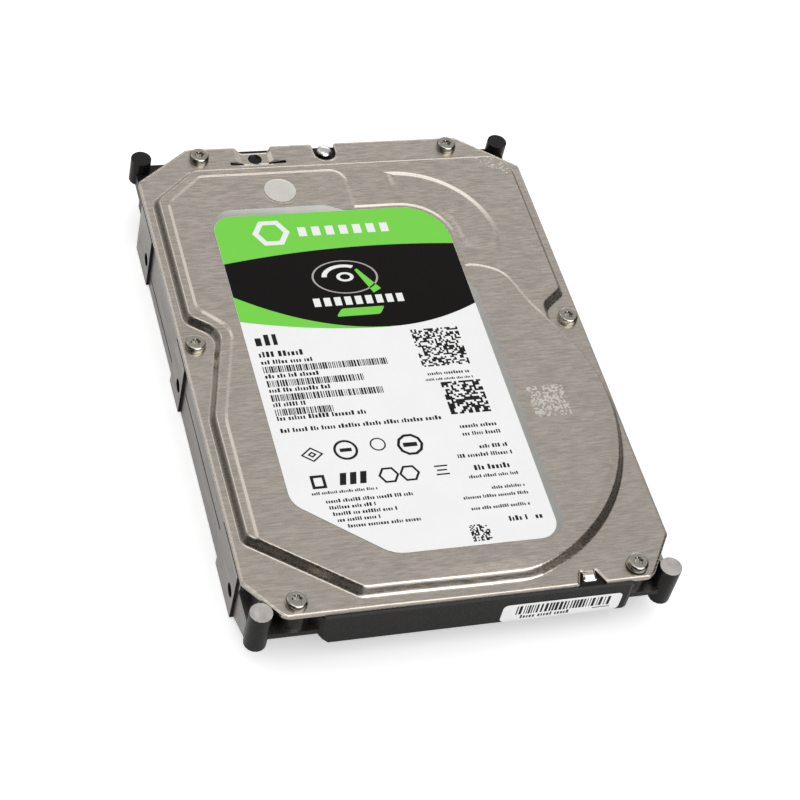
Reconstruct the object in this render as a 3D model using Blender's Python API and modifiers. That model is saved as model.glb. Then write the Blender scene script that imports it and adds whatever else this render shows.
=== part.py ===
"""A slim 3.5-inch hard disk drive with one platter, as an assembly of separate pieces.

Lengths are written in millimetres and turned into metres by the MM factor where a mesh is
made.  The origin is the centre of the footprint: +X across the drive, +Y towards the end that
carries the SATA connector, +Z up towards the label.
"""
import math

import bmesh
import bpy
from mathutils import Vector

MM = 0.001

# ---------------------------------------------------------------- driving dimensions (mm)
WIDTH = 101.6
LENGTH = 147.0
HEIGHT = 20.2
HALF_W = WIDTH / 2
HALF_L = LENGTH / 2
TOUCH = 0.1                      # the gap kept between pieces that touch

# levels, from the bottom up
BOARD_LOW = 0.9
BOARD_TOP = 1.9
BELLY = 3.0                      # underside of the casting at its middle
POCKET_ROOF = 4.9                # roof of the recess that holds the circuit board
FLOOR = 7.5                      # floor of the sealed chamber
RIM = 16.1                       # face of the casting that the gasket sits on
FLANGE_LOW = 16.5
FLANGE_TOP = 17.3
ROOF_LOW = 19.0                  # inner face of the cover's raised area
ROOF_TOP = 19.8

# standard mounting holes, 6-32 UNC
MOUNT_HOLE_R = 1.75
SIDE_HOLE_Z = 6.35
SIDE_FACE = 50.1                 # the casting's side between its mounting pads
PAD_SPANS = ((42.3, 55.4), (0.5, 10.4), (-59.6, -44.6))
SIDE_GROOVES = ((13.0, 41.0, 3.3), (-41.5, -1.0, 8.3))
CHIN_LOW = 5.9
SIDE_HOLE_Y = (HALF_L - 28.5, HALF_L - 70.1, HALF_L - 130.1)
BOTTOM_HOLE_X = 47.625
BOTTOM_HOLE_Y = (HALF_L - 41.28, HALF_L - 85.73, HALF_L - 117.48)

# corner posts and screws of the cover
POST_R = 2.6
POST_X = HALF_W - POST_R
POST_Y = HALF_L - POST_R
REAR_PIN = (-0.3, 69.6)
COVER_SCREWS = ((-33.8, 68.7), (32.8, 68.7), (-47.3, 6.0), (47.3, 6.0), (-40.0, -69.2), (40.3, -69.2))

# stamped features of the cover
DISK_WALL_CENTRE = (0.5, -22.5)
DISK_WALL_R = 49.8
COIL_BUMP = (13.5, 34.5)
BREATHER_PORT = (-16.2, 53.4)
TRAY_HOLE = (-19.1, 68.2)

# spindle and platter
SPINDLE = (0.0, -21.5)
PLATTER_R = 47.5
PLATTER_BORE_R = 12.5
PLATTER_LOW = 12.0
PLATTER_TOP = 13.27
PLATTER_MID = (PLATTER_LOW + PLATTER_TOP) / 2
SHROUD_R = 48.1
SLEEVE_R = 5.1
SHAFT_R = 2.5
STATOR_SLOTS = 9

# actuator: pivot, parked direction of its arms, reach of the heads
PIVOT = (13.0, 37.0)
PARKED_ANGLE = 205.0
HEAD_REACH = 52.0
TAB_REACH = 56.5
ARM_LOW = 14.4                   # the upper arm's lower face; the lower arm mirrors it
ARM_TOP = 15.5
BEARING_R = 5.5

# voice-coil motor, a sector around the pivot
MOTOR_INNER_R = 12.0
MOTOR_OUTER_R = 25.5
MOTOR_FROM = -16.0
MOTOR_TO = 99.0
COIL_LOW = 11.5
COIL_TOP = 13.3
COIL_HALF_ANGLE = 25.0
FRAME_HALF_ANGLE = 28.0

LATCH_PIVOT = (43.2, 28.5)
RAMP_POST = (-41.2, 24.0)
BRACKET = (-20.0, 50.0)
FLEX_END = (1.2, -9.6)           # on the actuator's side: along its arm, and across it
FLEX_STEPS = 16

# circuit board and its connector
BOARD_X = 43.6
BOARD_Y = (6.0, 64.0)
BOARD_SCREWS = ((-40.5, 10.0), (40.5, 10.0), (-40.5, 57.0), (40.5, 57.0))
SATA_X = -20.68
SATA_HALF_W = 21.0

# colour, metallic, roughness
FINISHES = {
    "black_casting": ((0.040, 0.037, 0.034), 0.5, 0.45),
    "stamped_steel": ((0.40, 0.36, 0.32), 1.0, 0.35),
    "bright_steel": ((0.65, 0.64, 0.62), 1.0, 0.22),
    "rubber": ((0.02, 0.02, 0.02), 0.0, 0.8),
    "white_label": ((0.85, 0.85, 0.84), 0.0, 0.5),
    "silver_label": ((0.60, 0.58, 0.55), 0.3, 0.45),
    "platter": ((0.80, 0.80, 0.82), 1.0, 0.03),
    "aluminium": ((0.60, 0.60, 0.60), 1.0, 0.3),
    "magnet": ((0.45, 0.45, 0.46), 1.0, 0.25),
    "copper": ((0.55, 0.20, 0.07), 1.0, 0.35),
    "plastic": ((0.05, 0.05, 0.05), 0.0, 0.4),
    "pale_plastic": ((0.75, 0.72, 0.62), 0.0, 0.4),
    "cable": ((0.35, 0.14, 0.03), 0.0, 0.4),
    "board": ((0.01, 0.06, 0.10), 0.0, 0.4),
    "foam": ((0.06, 0.06, 0.07), 0.0, 0.9),
    "filter": ((0.80, 0.80, 0.78), 0.0, 0.9),
    "chip": ((0.02, 0.02, 0.022), 0.0, 0.5),
}


# ---------------------------------------------------------------- outlines
def arc(centre, radius, start, stop, step=10.0):
    """Points of a circle's arc, both ends included, angles in degrees."""
    count = max(2, math.ceil(abs(stop - start) / step) + 1)
    points = []
    for index in range(count):
        angle = math.radians(start + (stop - start) * index / (count - 1))
        points.append((centre[0] + radius * math.cos(angle), centre[1] + radius * math.sin(angle)))
    return points


def circle(centre, radius, sides=24):
    return arc(centre, radius, 0.0, 360.0, 360.0 / sides)[:-1]


def rounded(corners, step=22.5):
    """A closed outline from (x, y, fillet radius) corners; a corner of radius 0 stays sharp."""
    points = []
    count = len(corners)
    for index, (x, y, radius) in enumerate(corners):
        here = Vector((x, y))
        if radius <= 0:
            points.append((x, y))
            continue
        before = (Vector(corners[index - 1][:2]) - here).normalized()
        after = (Vector(corners[(index + 1) % count][:2]) - here).normalized()
        half = before.angle(after) / 2
        reach = radius / math.tan(half)
        centre = here + (before + after).normalized() * (radius / math.sin(half))
        first = here + before * reach - centre
        last = here + after * reach - centre
        start = math.degrees(math.atan2(first.y, first.x))
        sweep = math.degrees(math.atan2(last.y, last.x)) - start
        sweep = (sweep + 180.0) % 360.0 - 180.0
        points += arc(centre, radius, start, start + sweep, step)
    return points


def inset(points, distance):
    """The outline moved inwards (outwards when negative); the points run anticlockwise."""
    moved = []
    count = len(points)
    for index in range(count):
        here = Vector(points[index])
        before = (here - Vector(points[index - 1])).normalized()
        after = (Vector(points[(index + 1) % count]) - here).normalized()
        normal = Vector((-before.y - after.y, before.x + after.x)).normalized()
        stretch = max(0.5, normal.dot(Vector((-after.y, after.x))))
        moved.append(tuple(here + normal * (distance / stretch)))
    return moved


def sector(centre, inner, outer, start, stop, step=8.0):
    """A piece of a flat ring, between two angles in degrees."""
    return arc(centre, outer, start, stop, step) + arc(centre, inner, stop, start, step * 1.5)


def raised_outline():
    """Foot of the cover's raised area: it follows the platter and steps in at the side screws."""
    disk_side = [(x, y, 0) for x, y in arc(DISK_WALL_CENTRE, DISK_WALL_R, -70.0, 26.0, 6.0)]
    return rounded([(-25.4, -70.2, 4.0), (13.8, -70.2, 12.0)] + disk_side + [
        (42.9, 5.2, 3.0), (43.1, 9.0, 2.0), (49.0, 13.6, 2.2), (49.0, 64.2, 7.0),
        (-37.2, 64.2, 3.5), (-49.0, 53.8, 4.0), (-49.0, 13.2, 2.2), (-42.3, 8.1, 2.4),
        (-49.0, -17.0, 12.0), (-49.0, -52.3, 3.5)])


def flange_outline():
    """Edge of the cover, with its ears, chamfered rear corners and edge notches."""
    return rounded((
        (-HALF_W, -62.5, 1.5), (-43.2, -72.7, 3.4), (25.3, -72.7, 0), (25.3, -70.4, 0),
        (32.0, -70.4, 0), (32.0, -72.7, 0), (43.4, -72.7, 3.4), (HALF_W, -61.5, 1.5),
        (HALF_W, 60.5, 1.5), (36.0, 72.3, 2.0), (3.3, 72.3, 0.6), (3.1, 65.8, 3.3),
        (-3.7, 65.8, 3.3), (-3.9, 72.3, 0.6), (-14.2, 72.3, 0.6), (-15.4, 70.7, 0.5),
        (-22.2, 70.7, 0.5), (-23.6, 72.3, 0.6), (-36.5, 72.3, 2.0), (-HALF_W, 61.5, 1.5)))


def chamber_outline():
    """Walls of the chamber around the actuator, up to the rear wall."""
    return rounded((
        (38.0, -4.0, 0), (41.0, 8.5, 4.0), (42.0, 15.2, 3.0), (47.0, 19.2, 3.0), (47.0, 63.6, 6.0),
        (-36.4, 63.6, 3.0), (-47.0, 53.0, 3.5), (-47.0, 19.2, 3.0), (-41.2, 15.2, 3.0),
        (-39.6, 8.0, 3.0), (-38.0, -4.0, 0)))


def label_outline():
    return rounded((
        (-16.0, -61.0, 8.0), (23.9, -61.0, 5.0), (23.9, 45.0, 11.0), (-1.0, 45.0, 4.0),
        (-6.0, 47.4, 4.0), (-35.9, 47.4, 6.0), (-35.9, -44.5, 6.0)))


# ---------------------------------------------------------------- scene and materials
def clear_scene():
    for thing in list(bpy.data.objects):
        bpy.data.objects.remove(thing, do_unlink=True)


def collection(name):
    group = bpy.data.collections.new(name)
    bpy.context.scene.collection.children.link(group)
    return group


def paint(piece, finish):
    """Gives a piece its own material."""
    colour, metallic, roughness = FINISHES[finish]
    material = bpy.data.materials.new(piece.name)
    material.use_nodes = True
    shader = material.node_tree.nodes["Principled BSDF"]
    shader.inputs["Base Color"].default_value = (*colour, 1.0)
    shader.inputs["Metallic"].default_value = metallic
    shader.inputs["Roughness"].default_value = roughness
    material.diffuse_color = (*colour, 1.0)
    piece.data.materials.clear()
    piece.data.materials.append(material)


def settle(piece, finish, parent=None):
    """Files a finished piece under the drive, or a cutter (no finish) with the cutters."""
    group = bpy.data.collections["cutters"]
    if finish:
        group = bpy.data.collections["hard_disk_drive"]
        paint(piece, finish)
    else:
        piece.hide_render = True
        piece.display_type = "WIRE"
    group.objects.link(piece)
    piece.parent = parent
    return piece


def axis_empty(name, place, turn=0.0):
    """An empty on a joint's axis; the moving pieces hang from it."""
    empty = bpy.data.objects.new(name, None)
    empty.location = (place[0] * MM, place[1] * MM, 0.0)
    empty.rotation_euler = (0.0, 0.0, math.radians(turn))
    empty.empty_display_size = 0.01
    bpy.data.collections["hard_disk_drive"].objects.link(empty)
    return empty


# ---------------------------------------------------------------- solids
def from_bmesh(name, shape, finish, parent=None, smooth=False):
    mesh = bpy.data.meshes.new(name)
    shape.to_mesh(mesh)
    shape.free()
    if smooth:
        mesh.shade_smooth()
        mesh.set_sharp_from_angle(angle=math.radians(35))
    return settle(bpy.data.objects.new(name, mesh), finish, parent)


def box(name, low, high, finish=None, parent=None):
    """A box between two corners."""
    shape = bmesh.new()
    bmesh.ops.create_cube(shape, size=MM)
    size = [b - a for a, b in zip(low, high)]
    bmesh.ops.scale(shape, vec=size, verts=shape.verts)
    piece = from_bmesh(name, shape, finish, parent)
    piece.location = [(a + b) / 2 * MM for a, b in zip(low, high)]
    return piece


def rods(name, places, low, high, radius, finish=None, parent=None, sides=20):
    """Upright round bars of one size, one at each place."""
    shape = bmesh.new()
    for x, y in places:
        made = bmesh.ops.create_cone(shape, cap_ends=True, segments=sides, radius1=radius * MM,
                                     radius2=radius * MM, depth=(high - low) * MM)
        middle = Vector((x, y, (low + high) / 2)) * MM
        bmesh.ops.translate(shape, vec=middle, verts=made["verts"])
    return from_bmesh(name, shape, finish, parent, smooth=True)


def plate(name, outline, low, high, finish=None, parent=None, holes=()):
    """A flat piece: outlines on a 2D curve, filled and extruded, then made a welded mesh."""
    curve = bpy.data.curves.new(name, "CURVE")
    curve.dimensions = "2D"
    curve.fill_mode = "BOTH"
    curve.extrude = (high - low) / 2 * MM
    for ring in (outline, *holes):
        spline = curve.splines.new("POLY")
        spline.points.add(len(ring) - 1)
        for point, (x, y) in zip(spline.points, ring):
            point.co = (x * MM, y * MM, 0.0, 1.0)
        spline.use_cyclic_u = True
    source = bpy.data.objects.new(name + "_curve", curve)
    bpy.context.scene.collection.objects.link(source)
    bpy.context.view_layer.update()
    evaluated = source.evaluated_get(bpy.context.evaluated_depsgraph_get())
    mesh = bpy.data.meshes.new_from_object(evaluated)
    bpy.data.objects.remove(source, do_unlink=True)
    shape = bmesh.new()
    shape.from_mesh(mesh)
    bpy.data.meshes.remove(mesh)
    bmesh.ops.remove_doubles(shape, verts=shape.verts, dist=1e-6)
    bmesh.ops.recalc_face_normals(shape, faces=shape.faces)
    piece = from_bmesh(name, shape, finish, parent, smooth=True)
    piece.location.z = (low + high) / 2 * MM
    return piece


def loft(name, rings, finish=None, parent=None):
    """A solid between outlines of equal point counts, each given with its level."""
    shape = bmesh.new()
    levels = []
    for outline, level in rings:
        levels.append([shape.verts.new((x * MM, y * MM, level * MM)) for x, y in outline])
    count = len(levels[0])
    for lower, upper in zip(levels, levels[1:]):
        for index in range(count):
            after = (index + 1) % count
            shape.faces.new((lower[index], lower[after], upper[after], upper[index]))
    shape.faces.new(list(reversed(levels[0])))
    shape.faces.new(levels[-1])
    bmesh.ops.triangulate(shape, faces=[f for f in shape.faces if len(f.verts) > 4])
    return from_bmesh(name, shape, finish, parent, smooth=True)


def turned(name, profile, finish=None, parent=None, place=(0.0, 0.0), steps=32):
    """A turned piece: (radius, height) points, down the outer side and back up the inner."""
    shape = bmesh.new()
    corners = [shape.verts.new((radius * MM, 0.0, level * MM)) for radius, level in profile]
    ends_on_axis = profile[0][0] == 0 and profile[-1][0] == 0
    pairs = list(zip(corners, corners[1:]))
    if not ends_on_axis:
        pairs.append((corners[-1], corners[0]))
    for first, second in pairs:
        shape.edges.new((first, second))
    piece = from_bmesh(name, shape, finish, parent)
    piece.location = (place[0] * MM, place[1] * MM, 0.0)
    screw = piece.modifiers.new("turn", "SCREW")
    screw.axis = "Z"
    screw.steps = steps
    screw.render_steps = steps
    screw.use_merge_vertices = True
    screw.merge_threshold = 1e-6
    screw.use_smooth_shade = True
    return piece


def combine(piece, other, operation):
    modifier = piece.modifiers.new(other.name, "BOOLEAN")
    modifier.operation = operation
    modifier.object = other
    modifier.solver = "EXACT"
    return piece


def cut(piece, *cutters):
    for cutter in cutters:
        combine(piece, cutter, "DIFFERENCE")
    return piece


def join(piece, *others):
    for other in others:
        combine(piece, other, "UNION")
    return piece


def soften(piece, width, segments=1, angle=40.0):
    """Breaks the sharp edges of a piece."""
    bevel = piece.modifiers.new("soften", "BEVEL")
    bevel.width = width * MM
    bevel.segments = segments
    bevel.limit_method = "ANGLE"
    bevel.angle_limit = math.radians(angle)
    return piece


def machine_screw(name, place, head_r, head_low, head_top, shank_r, tip, finish="bright_steel", parent=None):
    """A pan-head screw with a six-sided drive recess; a screw put in from below has tip above its head."""
    up = 1.0 if head_top > tip else -1.0
    rim = head_top - 0.35 * up
    profile = [(0.0, head_top), (head_r * 0.72, head_top), (head_r, rim), (head_r, head_low),
               (shank_r, head_low), (shank_r, tip), (0.0, tip)]
    if up < 0:
        profile.reverse()
    screw = turned(name, profile, finish, parent, place, steps=14)
    depth = head_top - abs(head_top - head_low) * 0.55 * up
    low, high = sorted((depth, head_top + 0.5 * up))
    recess = rods(name + "_recess", [place], low, high, head_r * 0.42, parent=parent, sides=6)
    return cut(screw, recess)


# ---------------------------------------------------------------- base casting
def casting_additions():
    """What stands out from the casting's main block."""
    pads = []
    for side in (-1, 1):
        inner, outer = sorted((side * 48.9, side * HALF_W))
        for index, (low_y, high_y) in enumerate(PAD_SPANS):
            pads.append(box(f"pad_{side}_{index}", (inner, low_y, 0.0), (outer, high_y, 15.6)))
        inner, outer = sorted((side * 44.5, side * SIDE_FACE))
        pads.append(box(f"rail_{side}", (inner, -58.2, 0.0), (outer, 57.0, BELLY + 1.0)))
        inner, outer = sorted((side * 48.4, side * SIDE_FACE))
        foot = [(0.2, -58.3), (6.4, -70.9), (10.9, -70.9), (10.9, -58.3)]
        pads.append(lay_across(plate(f"post_foot_{side}", foot, inner, outer)))
        inner, outer = sorted((side * 34.0, side * 48.5))
        pads.append(box(f"ledge_{side}", (inner, -72.6, 9.4), (outer, -60.0, 10.9)))
        inner, outer = sorted((side * 46.7, side * 47.8))
        pads.append(box(f"post_rib_{side}", (inner, -69.4, 9.6), (outer, -58.5, 16.0)))
        wedge = [(side * 49.6, 57.0), (side * 49.6, 69.5), (side * 47.0, 71.7), (side * 34.0, 71.7)]
        if side < 0:
            wedge.reverse()
        pads.append(plate(f"wedge_{side}", wedge, 9.4, 12.9))
    chin_y = 0.2 - HALF_L
    chin = plate("chin", ((-36.5, -67.0), (-36.5, -70.0), (-34.2, chin_y), (38.7, chin_y), (39.9, -72.0),
                          (39.9, -67.0)), CHIN_LOW, RIM)
    soften(chin, 0.5)
    posts_front = rods("front_posts", [(-POST_X, -POST_Y), (POST_X, -POST_Y)], 6.3, 17.5, POST_R, sides=16)
    posts_rear = rods("rear_posts", [(-POST_X, POST_Y), (POST_X, POST_Y)], 9.2, 16.2, POST_R, sides=16)
    bosses = rods("screw_bosses", COVER_SCREWS[4:], 9.7, RIM - 0.15, 2.9, sides=22)
    locator = rods("rear_locator", [REAR_PIN], 7.4, 17.0, 1.7)
    motor_boss = rods("motor_boss", [SPINDLE], 1.2, 7.0, 17.5, sides=40)
    return pads + [chin, posts_front, posts_rear, bosses, locator, motor_boss]


def casting_cutters():
    """What is machined out of the casting."""
    cutters = [
        rods("platter_bay", [SPINDLE], FLOOR, 20.0, SHROUD_R, sides=60),
        plate("actuator_bay", chamber_outline(), FLOOR, 20.0),
        rods("motor_pocket", [SPINDLE], 6.2, 20.0, 16.4, sides=40),
        box("board_recess", (-44.3, 4.0, -1.0), (44.3, 65.0, POCKET_ROOF)),
        box("connector_window", (SATA_X - SATA_HALF_W - 0.8, 64.5, -1.0),
            (SATA_X + SATA_HALF_W + 0.8, 76.0, 7.6)),
        rods("cover_screw_holes", COVER_SCREWS, 9.8, 20.0, 1.6, sides=12),
        rods("bottom_holes", [(side * BOTTOM_HOLE_X, y) for side in (-1, 1) for y in BOTTOM_HOLE_Y],
             -1.0, 4.8, MOUNT_HOLE_R, sides=12),
        rods("bracket_screw_hole", [(BRACKET[0] + 9.0, BRACKET[1])], 5.6, 9.0, 1.1, sides=12),
        rods("ramp_screw_hole", [RAMP_POST], 5.6, 9.0, 1.1, sides=12),
        rods("latch_pin_hole", [LATCH_PIVOT], 5.6, 9.0, 1.3, sides=12),
        box("flex_window", (BRACKET[0] - 5.3, BRACKET[1] - 2.3, 4.0),
            (BRACKET[0] + 5.3, BRACKET[1] + 2.3, 9.0)),
    ]
    side_holes = rods("side_holes", [(SIDE_HOLE_Z, y) for y in SIDE_HOLE_Y], HALF_W - 3.0,
                      HALF_W + 2.0, MOUNT_HOLE_R, sides=12)
    far_holes = rods("far_side_holes", [(SIDE_HOLE_Z, y) for y in SIDE_HOLE_Y], -HALF_W - 2.0,
                     -HALF_W + 3.0, MOUNT_HOLE_R, sides=12)
    for holes in (side_holes, far_holes):
        lay_across(holes)
    for start in (-172.0, -122.0, -72.0, -22.0):
        pocket = sector(SPINDLE, 20.0, 42.0, start, start + 44.0)
        cutters.append(plate(f"belly_pocket_{start:.0f}", pocket, 1.0, 5.4))
    for side in (-1, 1):
        inner, outer = sorted((side * (SIDE_FACE - 0.4), side * 51.5))
        for number, (low_y, high_y, low_z) in enumerate(SIDE_GROOVES):
            low = (inner, low_y, low_z)
            cutters.append(box(f"side_groove_{side}_{number}", low, (outer, high_y, low_z + 0.6)))
        inner, outer = sorted((side * 44.0, side * 52.0))
        cutters.append(box(f"rear_corner_{side}", (inner, 57.2, -1.0), (outer, 68.2, 6.3)))
        inner, outer = sorted((side * 48.2, side * 52.0))
        cutters.append(box(f"rear_edge_{side}", (inner, 57.2, -2.0), (outer, 64.0, 9.3)))
    front_left = [(-45.4, -1.0), (-31.6, -1.0), (-31.6, CHIN_LOW - 0.1), (-34.8, 9.3), (-45.4, 9.3)]
    front_right = [(39.96, -1.0), (45.4, -1.0), (45.4, 9.3), (39.96, 9.3)]
    for name, under in (("front_left", front_left), ("front_right", front_right)):
        cutters.append(lay_along(plate(name, under, -75.0, -66.1)))
    return cutters + [side_holes, far_holes]


def lay_over(piece, order):
    """Turns an upright piece by swapping two of its axes; order says where each coordinate comes from."""
    for vertex in piece.data.vertices:
        vertex.co = [vertex.co[axis] for axis in order]
    piece.location = [piece.location[axis] for axis in order]
    piece.data.flip_normals()
    return piece


def lay_across(piece):
    """Turns an upright piece given at (z, y), with levels along x, into one along the X axis."""
    return lay_over(piece, (2, 1, 0))


def lay_along(piece):
    """Turns an upright piece given at (x, z), with levels along y, into one along the Y axis."""
    return lay_over(piece, (0, 2, 1))


def base_casting():
    outline = rounded((
        (-SIDE_FACE, -60.2, 1.0), (-42.8, -67.0, 1.0), (-35.0, -70.4, 2.0), (41.0, -70.4, 2.0),
        (45.2, -66.0, 1.0), (SIDE_FACE, -60.2, 1.0), (SIDE_FACE, 60.8, 1.0), (36.5, 71.8, 2.0),
        (-36.8, 71.8, 2.0), (-SIDE_FACE, 61.2, 1.0)))
    casting = plate("base_casting", outline, BELLY, RIM, "black_casting")
    join(casting, *casting_additions())
    cut(casting, *casting_cutters())
    stator_seat = rods("stator_seat", [SPINDLE], 5.5, 10.6, 6.8)
    standoffs = rods("board_standoffs", BOARD_SCREWS, BOARD_TOP + TOUCH, 6.5, 2.6, sides=14)
    join(casting, stator_seat, standoffs)
    sleeve_bore = rods("sleeve_bore", [SPINDLE], -1.0, 12.0, SLEEVE_R + TOUCH)
    return cut(casting, sleeve_bore, rods("board_screw_holes", BOARD_SCREWS, 0.0, 6.4, 1.1, sides=12))


# ---------------------------------------------------------------- cover, seals and labels
def top_cover():
    """Stamped sheet: a flange with a raised area over the chamber and a bump over the coil motor."""
    foot = raised_outline()
    cover = plate("top_cover", flange_outline(), FLANGE_LOW, FLANGE_TOP, "stamped_steel")
    outside = loft("raised_outside", [(foot, FLANGE_LOW + 0.2), (inset(foot, 0.15), FLANGE_TOP + 0.1),
                                      (inset(foot, 1.7), ROOF_TOP)])
    bump = plate("motor_bump", sector(COIL_BUMP, 12.6, 24.0, -20.0, 93.0), ROOF_LOW + 0.4, HEIGHT)
    inside = loft("raised_inside", [(inset(foot, 0.8), FLANGE_LOW - 1.0),
                                    (inset(foot, 0.8), FLANGE_LOW + 0.2),
                                    (inset(foot, 2.2), ROOF_LOW)])
    join(cover, outside, bump)
    holes = rods("cover_holes", COVER_SCREWS, 15.0, 20.0, 1.8, sides=16)
    vent = rods("vent_hole", [BREATHER_PORT], 18.0, 21.0, 0.8, sides=12)
    tray = box("rear_tray", (-22.0, 66.9, FLANGE_TOP - 0.35), (-16.2, 74.0, 20.0))
    tray_hole = rods("tray_hole", [TRAY_HOLE], 15.0, 20.0, 1.6, sides=16)
    slits = [box(f"tray_slit_{index}", (low_x, 65.9, 15.0), (high_x, 66.6, 20.0))
             for index, (low_x, high_x) in enumerate(((-26.0, -22.4), (-15.8, -11.3)))]
    return cut(cover, inside, holes, vent, tray, tray_hole, *slits)


def cover_gasket():
    foot = raised_outline()
    return plate("cover_gasket", inset(foot, -0.4), RIM + 0.05, FLANGE_LOW - 0.05, "rubber",
                 holes=(inset(foot, 0.7),))


def labels():
    plate("top_label", label_outline(), ROOF_TOP + 0.05, ROOF_TOP + 0.25, "white_label")
    plate("port_seal", circle(BREATHER_PORT, 4.1), ROOF_TOP + 0.05, ROOF_TOP + 0.2, "silver_label")
    box("front_label", (7.9, -HALF_L, 6.6), (36.8, -HALF_L + 0.15, 12.9), "white_label")


def cover_screws():
    for index, place in enumerate(COVER_SCREWS):
        machine_screw(f"cover_screw_{index + 1}", place, 2.8, FLANGE_TOP + 0.05, FLANGE_TOP + 1.6, 1.3, 10.0)


# ---------------------------------------------------------------- spindle motor
def stator():
    teeth = []
    half_tooth = 0.85
    for slot in range(STATOR_SLOTS):
        middle = 360.0 * slot / STATOR_SLOTS
        root = math.degrees(math.asin(half_tooth / 8.3))
        neck = math.degrees(math.asin(half_tooth / 12.0))
        shoe = math.degrees(math.asin(2.9 / 12.7))
        for radius, angle in ((8.3, -root), (12.0, -neck), (12.1, -shoe), (12.8, -shoe), (12.95, 0),
                              (12.8, shoe), (12.1, shoe), (12.0, neck), (8.3, root)):
            turn = math.radians(middle + angle)
            teeth.append((SPINDLE[0] + radius * math.cos(turn), SPINDLE[1] + radius * math.sin(turn)))
    plate("stator_core", teeth, 8.3, 10.1, "bright_steel", holes=(circle(SPINDLE, 6.9, 20),))

    ring = turned("stator_windings", [(9.6, 7.55), (9.6, 6.9), (8.9, 6.9), (8.9, 7.55)], "copper",
                  place=SPINDLE, steps=32)
    for slot in range(STATOR_SLOTS):
        turn = axis_empty(f"slot_{slot}", SPINDLE, 360.0 * slot / STATOR_SLOTS)
        coil = box(f"coil_{slot}", (8.9, -1.6, 7.3), (11.6, 1.6, 10.9), parent=turn)
        gap = box(f"coil_gap_{slot}", (8.0, -0.98, 8.15), (12.5, 0.98, 10.25), parent=turn)
        join(ring, coil)
        cut(ring, gap)


def spindle_fixed():
    turned("bearing_sleeve", [(SLEEVE_R, 10.7), (SLEEVE_R, 2.2), (SHAFT_R + TOUCH, 2.2),
                              (SHAFT_R + TOUCH, 10.7)], "bright_steel", place=SPINDLE, steps=20)
    rods("bearing_end_plate", [SPINDLE], 1.3, 2.1, SLEEVE_R - 0.1, "bright_steel")
    stator()


def spindle_moving():
    axis = axis_empty("spindle_axis", SPINDLE)
    hub = [(PLATTER_BORE_R - 0.1, 14.2), (PLATTER_BORE_R - 0.1, PLATTER_LOW - 0.05),
           (15.8, PLATTER_LOW - 0.05), (15.8, 8.0), (14.9, 8.0), (14.9, 11.1),
           (SHAFT_R + TOUCH, 11.1), (SHAFT_R + TOUCH, 14.2)]
    turned("spindle_hub", hub, "aluminium", axis, steps=40)
    turned("rotor_magnet", [(14.8, 11.0), (14.8, 8.1), (13.4, 8.1), (13.4, 11.0)], "magnet", axis, steps=40)
    shaft = [(0.0, 9.0), (1.2, 9.0), (1.2, 14.1), (SHAFT_R, 14.1), (SHAFT_R, 2.4), (0.0, 2.4)]
    turned("spindle_shaft", shaft, "bright_steel", axis, steps=20)
    turned("platter", [(PLATTER_R, PLATTER_TOP), (PLATTER_R, PLATTER_LOW), (PLATTER_BORE_R, PLATTER_LOW),
                       (PLATTER_BORE_R, PLATTER_TOP)], "platter", axis, steps=64)
    clamp = [(15.2, 14.9), (15.8, 14.6), (15.8, PLATTER_TOP + 0.05), (13.6, PLATTER_TOP + 0.05),
             (13.6, 14.25), (1.4, 14.25), (1.4, 14.9)]
    turned("disk_clamp", clamp, "aluminium", axis, steps=40)
    machine_screw("clamp_screw", (0.0, 0.0), 2.6, 14.95, 16.4, 1.1, 9.8, parent=axis)


# ---------------------------------------------------------------- actuator
def arm_outline():
    """One arm in plan: round about the pivot, tapering along +X to the suspension."""
    root = [(x, y, 0) for x, y in arc((0.0, 0.0), 8.6, 50.0, 310.0, 20.0)]
    return rounded(root + [(14.0, -5.6, 4.0), (30.5, -2.9, 1.0), (30.5, 2.9, 1.0), (14.0, 5.6, 4.0)])


def e_block(axis):
    """Two arms on one hub, with a lug behind it that carries the coil."""
    mirror = 2 * PLATTER_MID
    block = plate("e_block", arm_outline(), mirror - ARM_TOP, ARM_TOP, "aluminium", axis)
    lug = plate("coil_lug", sector((0.0, 0.0), 7.0, 11.1, 157.0, 203.0), COIL_LOW - 0.15, COIL_TOP + 0.15,
                parent=axis)
    join(block, lug)
    slot = plate("arm_slot", sector((0.0, 0.0), 10.6, 40.0, -30.0, 30.0), mirror - ARM_LOW, ARM_LOW,
                 parent=axis)
    window = plate("arm_window", rounded(((12.5, -2.8, 1.0), (22.0, 0.0, 0.8), (12.5, 2.8, 1.0))),
                   5.0, 18.0, parent=axis)
    bore = rods("bearing_bore", [(0.0, 0.0)], 5.0, 18.0, BEARING_R + TOUCH, parent=axis, sides=28)
    return cut(block, slot, window, bore)


def suspension(name, axis, upper):
    """A steel load beam: its plan cut from a strip bent to its side profile."""
    plan = rounded(((24.0, -2.2, 0.8), (31.0, -2.2, 1.0), (50.0, -0.8, 1.0), (TAB_REACH, -0.5, 0),
                    (TAB_REACH, 0.5, 0), (50.0, 0.8, 1.0), (31.0, 2.2, 1.0), (24.0, 2.2, 0.8)))
    beam = plate(name, plan, 5.0, 18.0, "bright_steel", axis)
    under = [(20.0, 14.15), (31.5, 14.15), (48.0, 13.82), (52.8, 13.82), (53.5, 14.2), (58.0, 14.2)]
    strip = [(x, z if upper else 2 * PLATTER_MID - z) for x, z in under]
    thick = 0.18 if upper else -0.18
    profile = strip + [(x, z + thick) for x, z in reversed(strip)]
    if not upper:
        profile.reverse()
    side = plate(name + "_profile", profile, -4.0, 4.0, parent=axis)
    side.rotation_euler = (math.radians(90.0), 0.0, 0.0)
    side.location = (0.0, 0.0, 0.0)
    return combine(beam, side, "INTERSECT")


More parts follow.
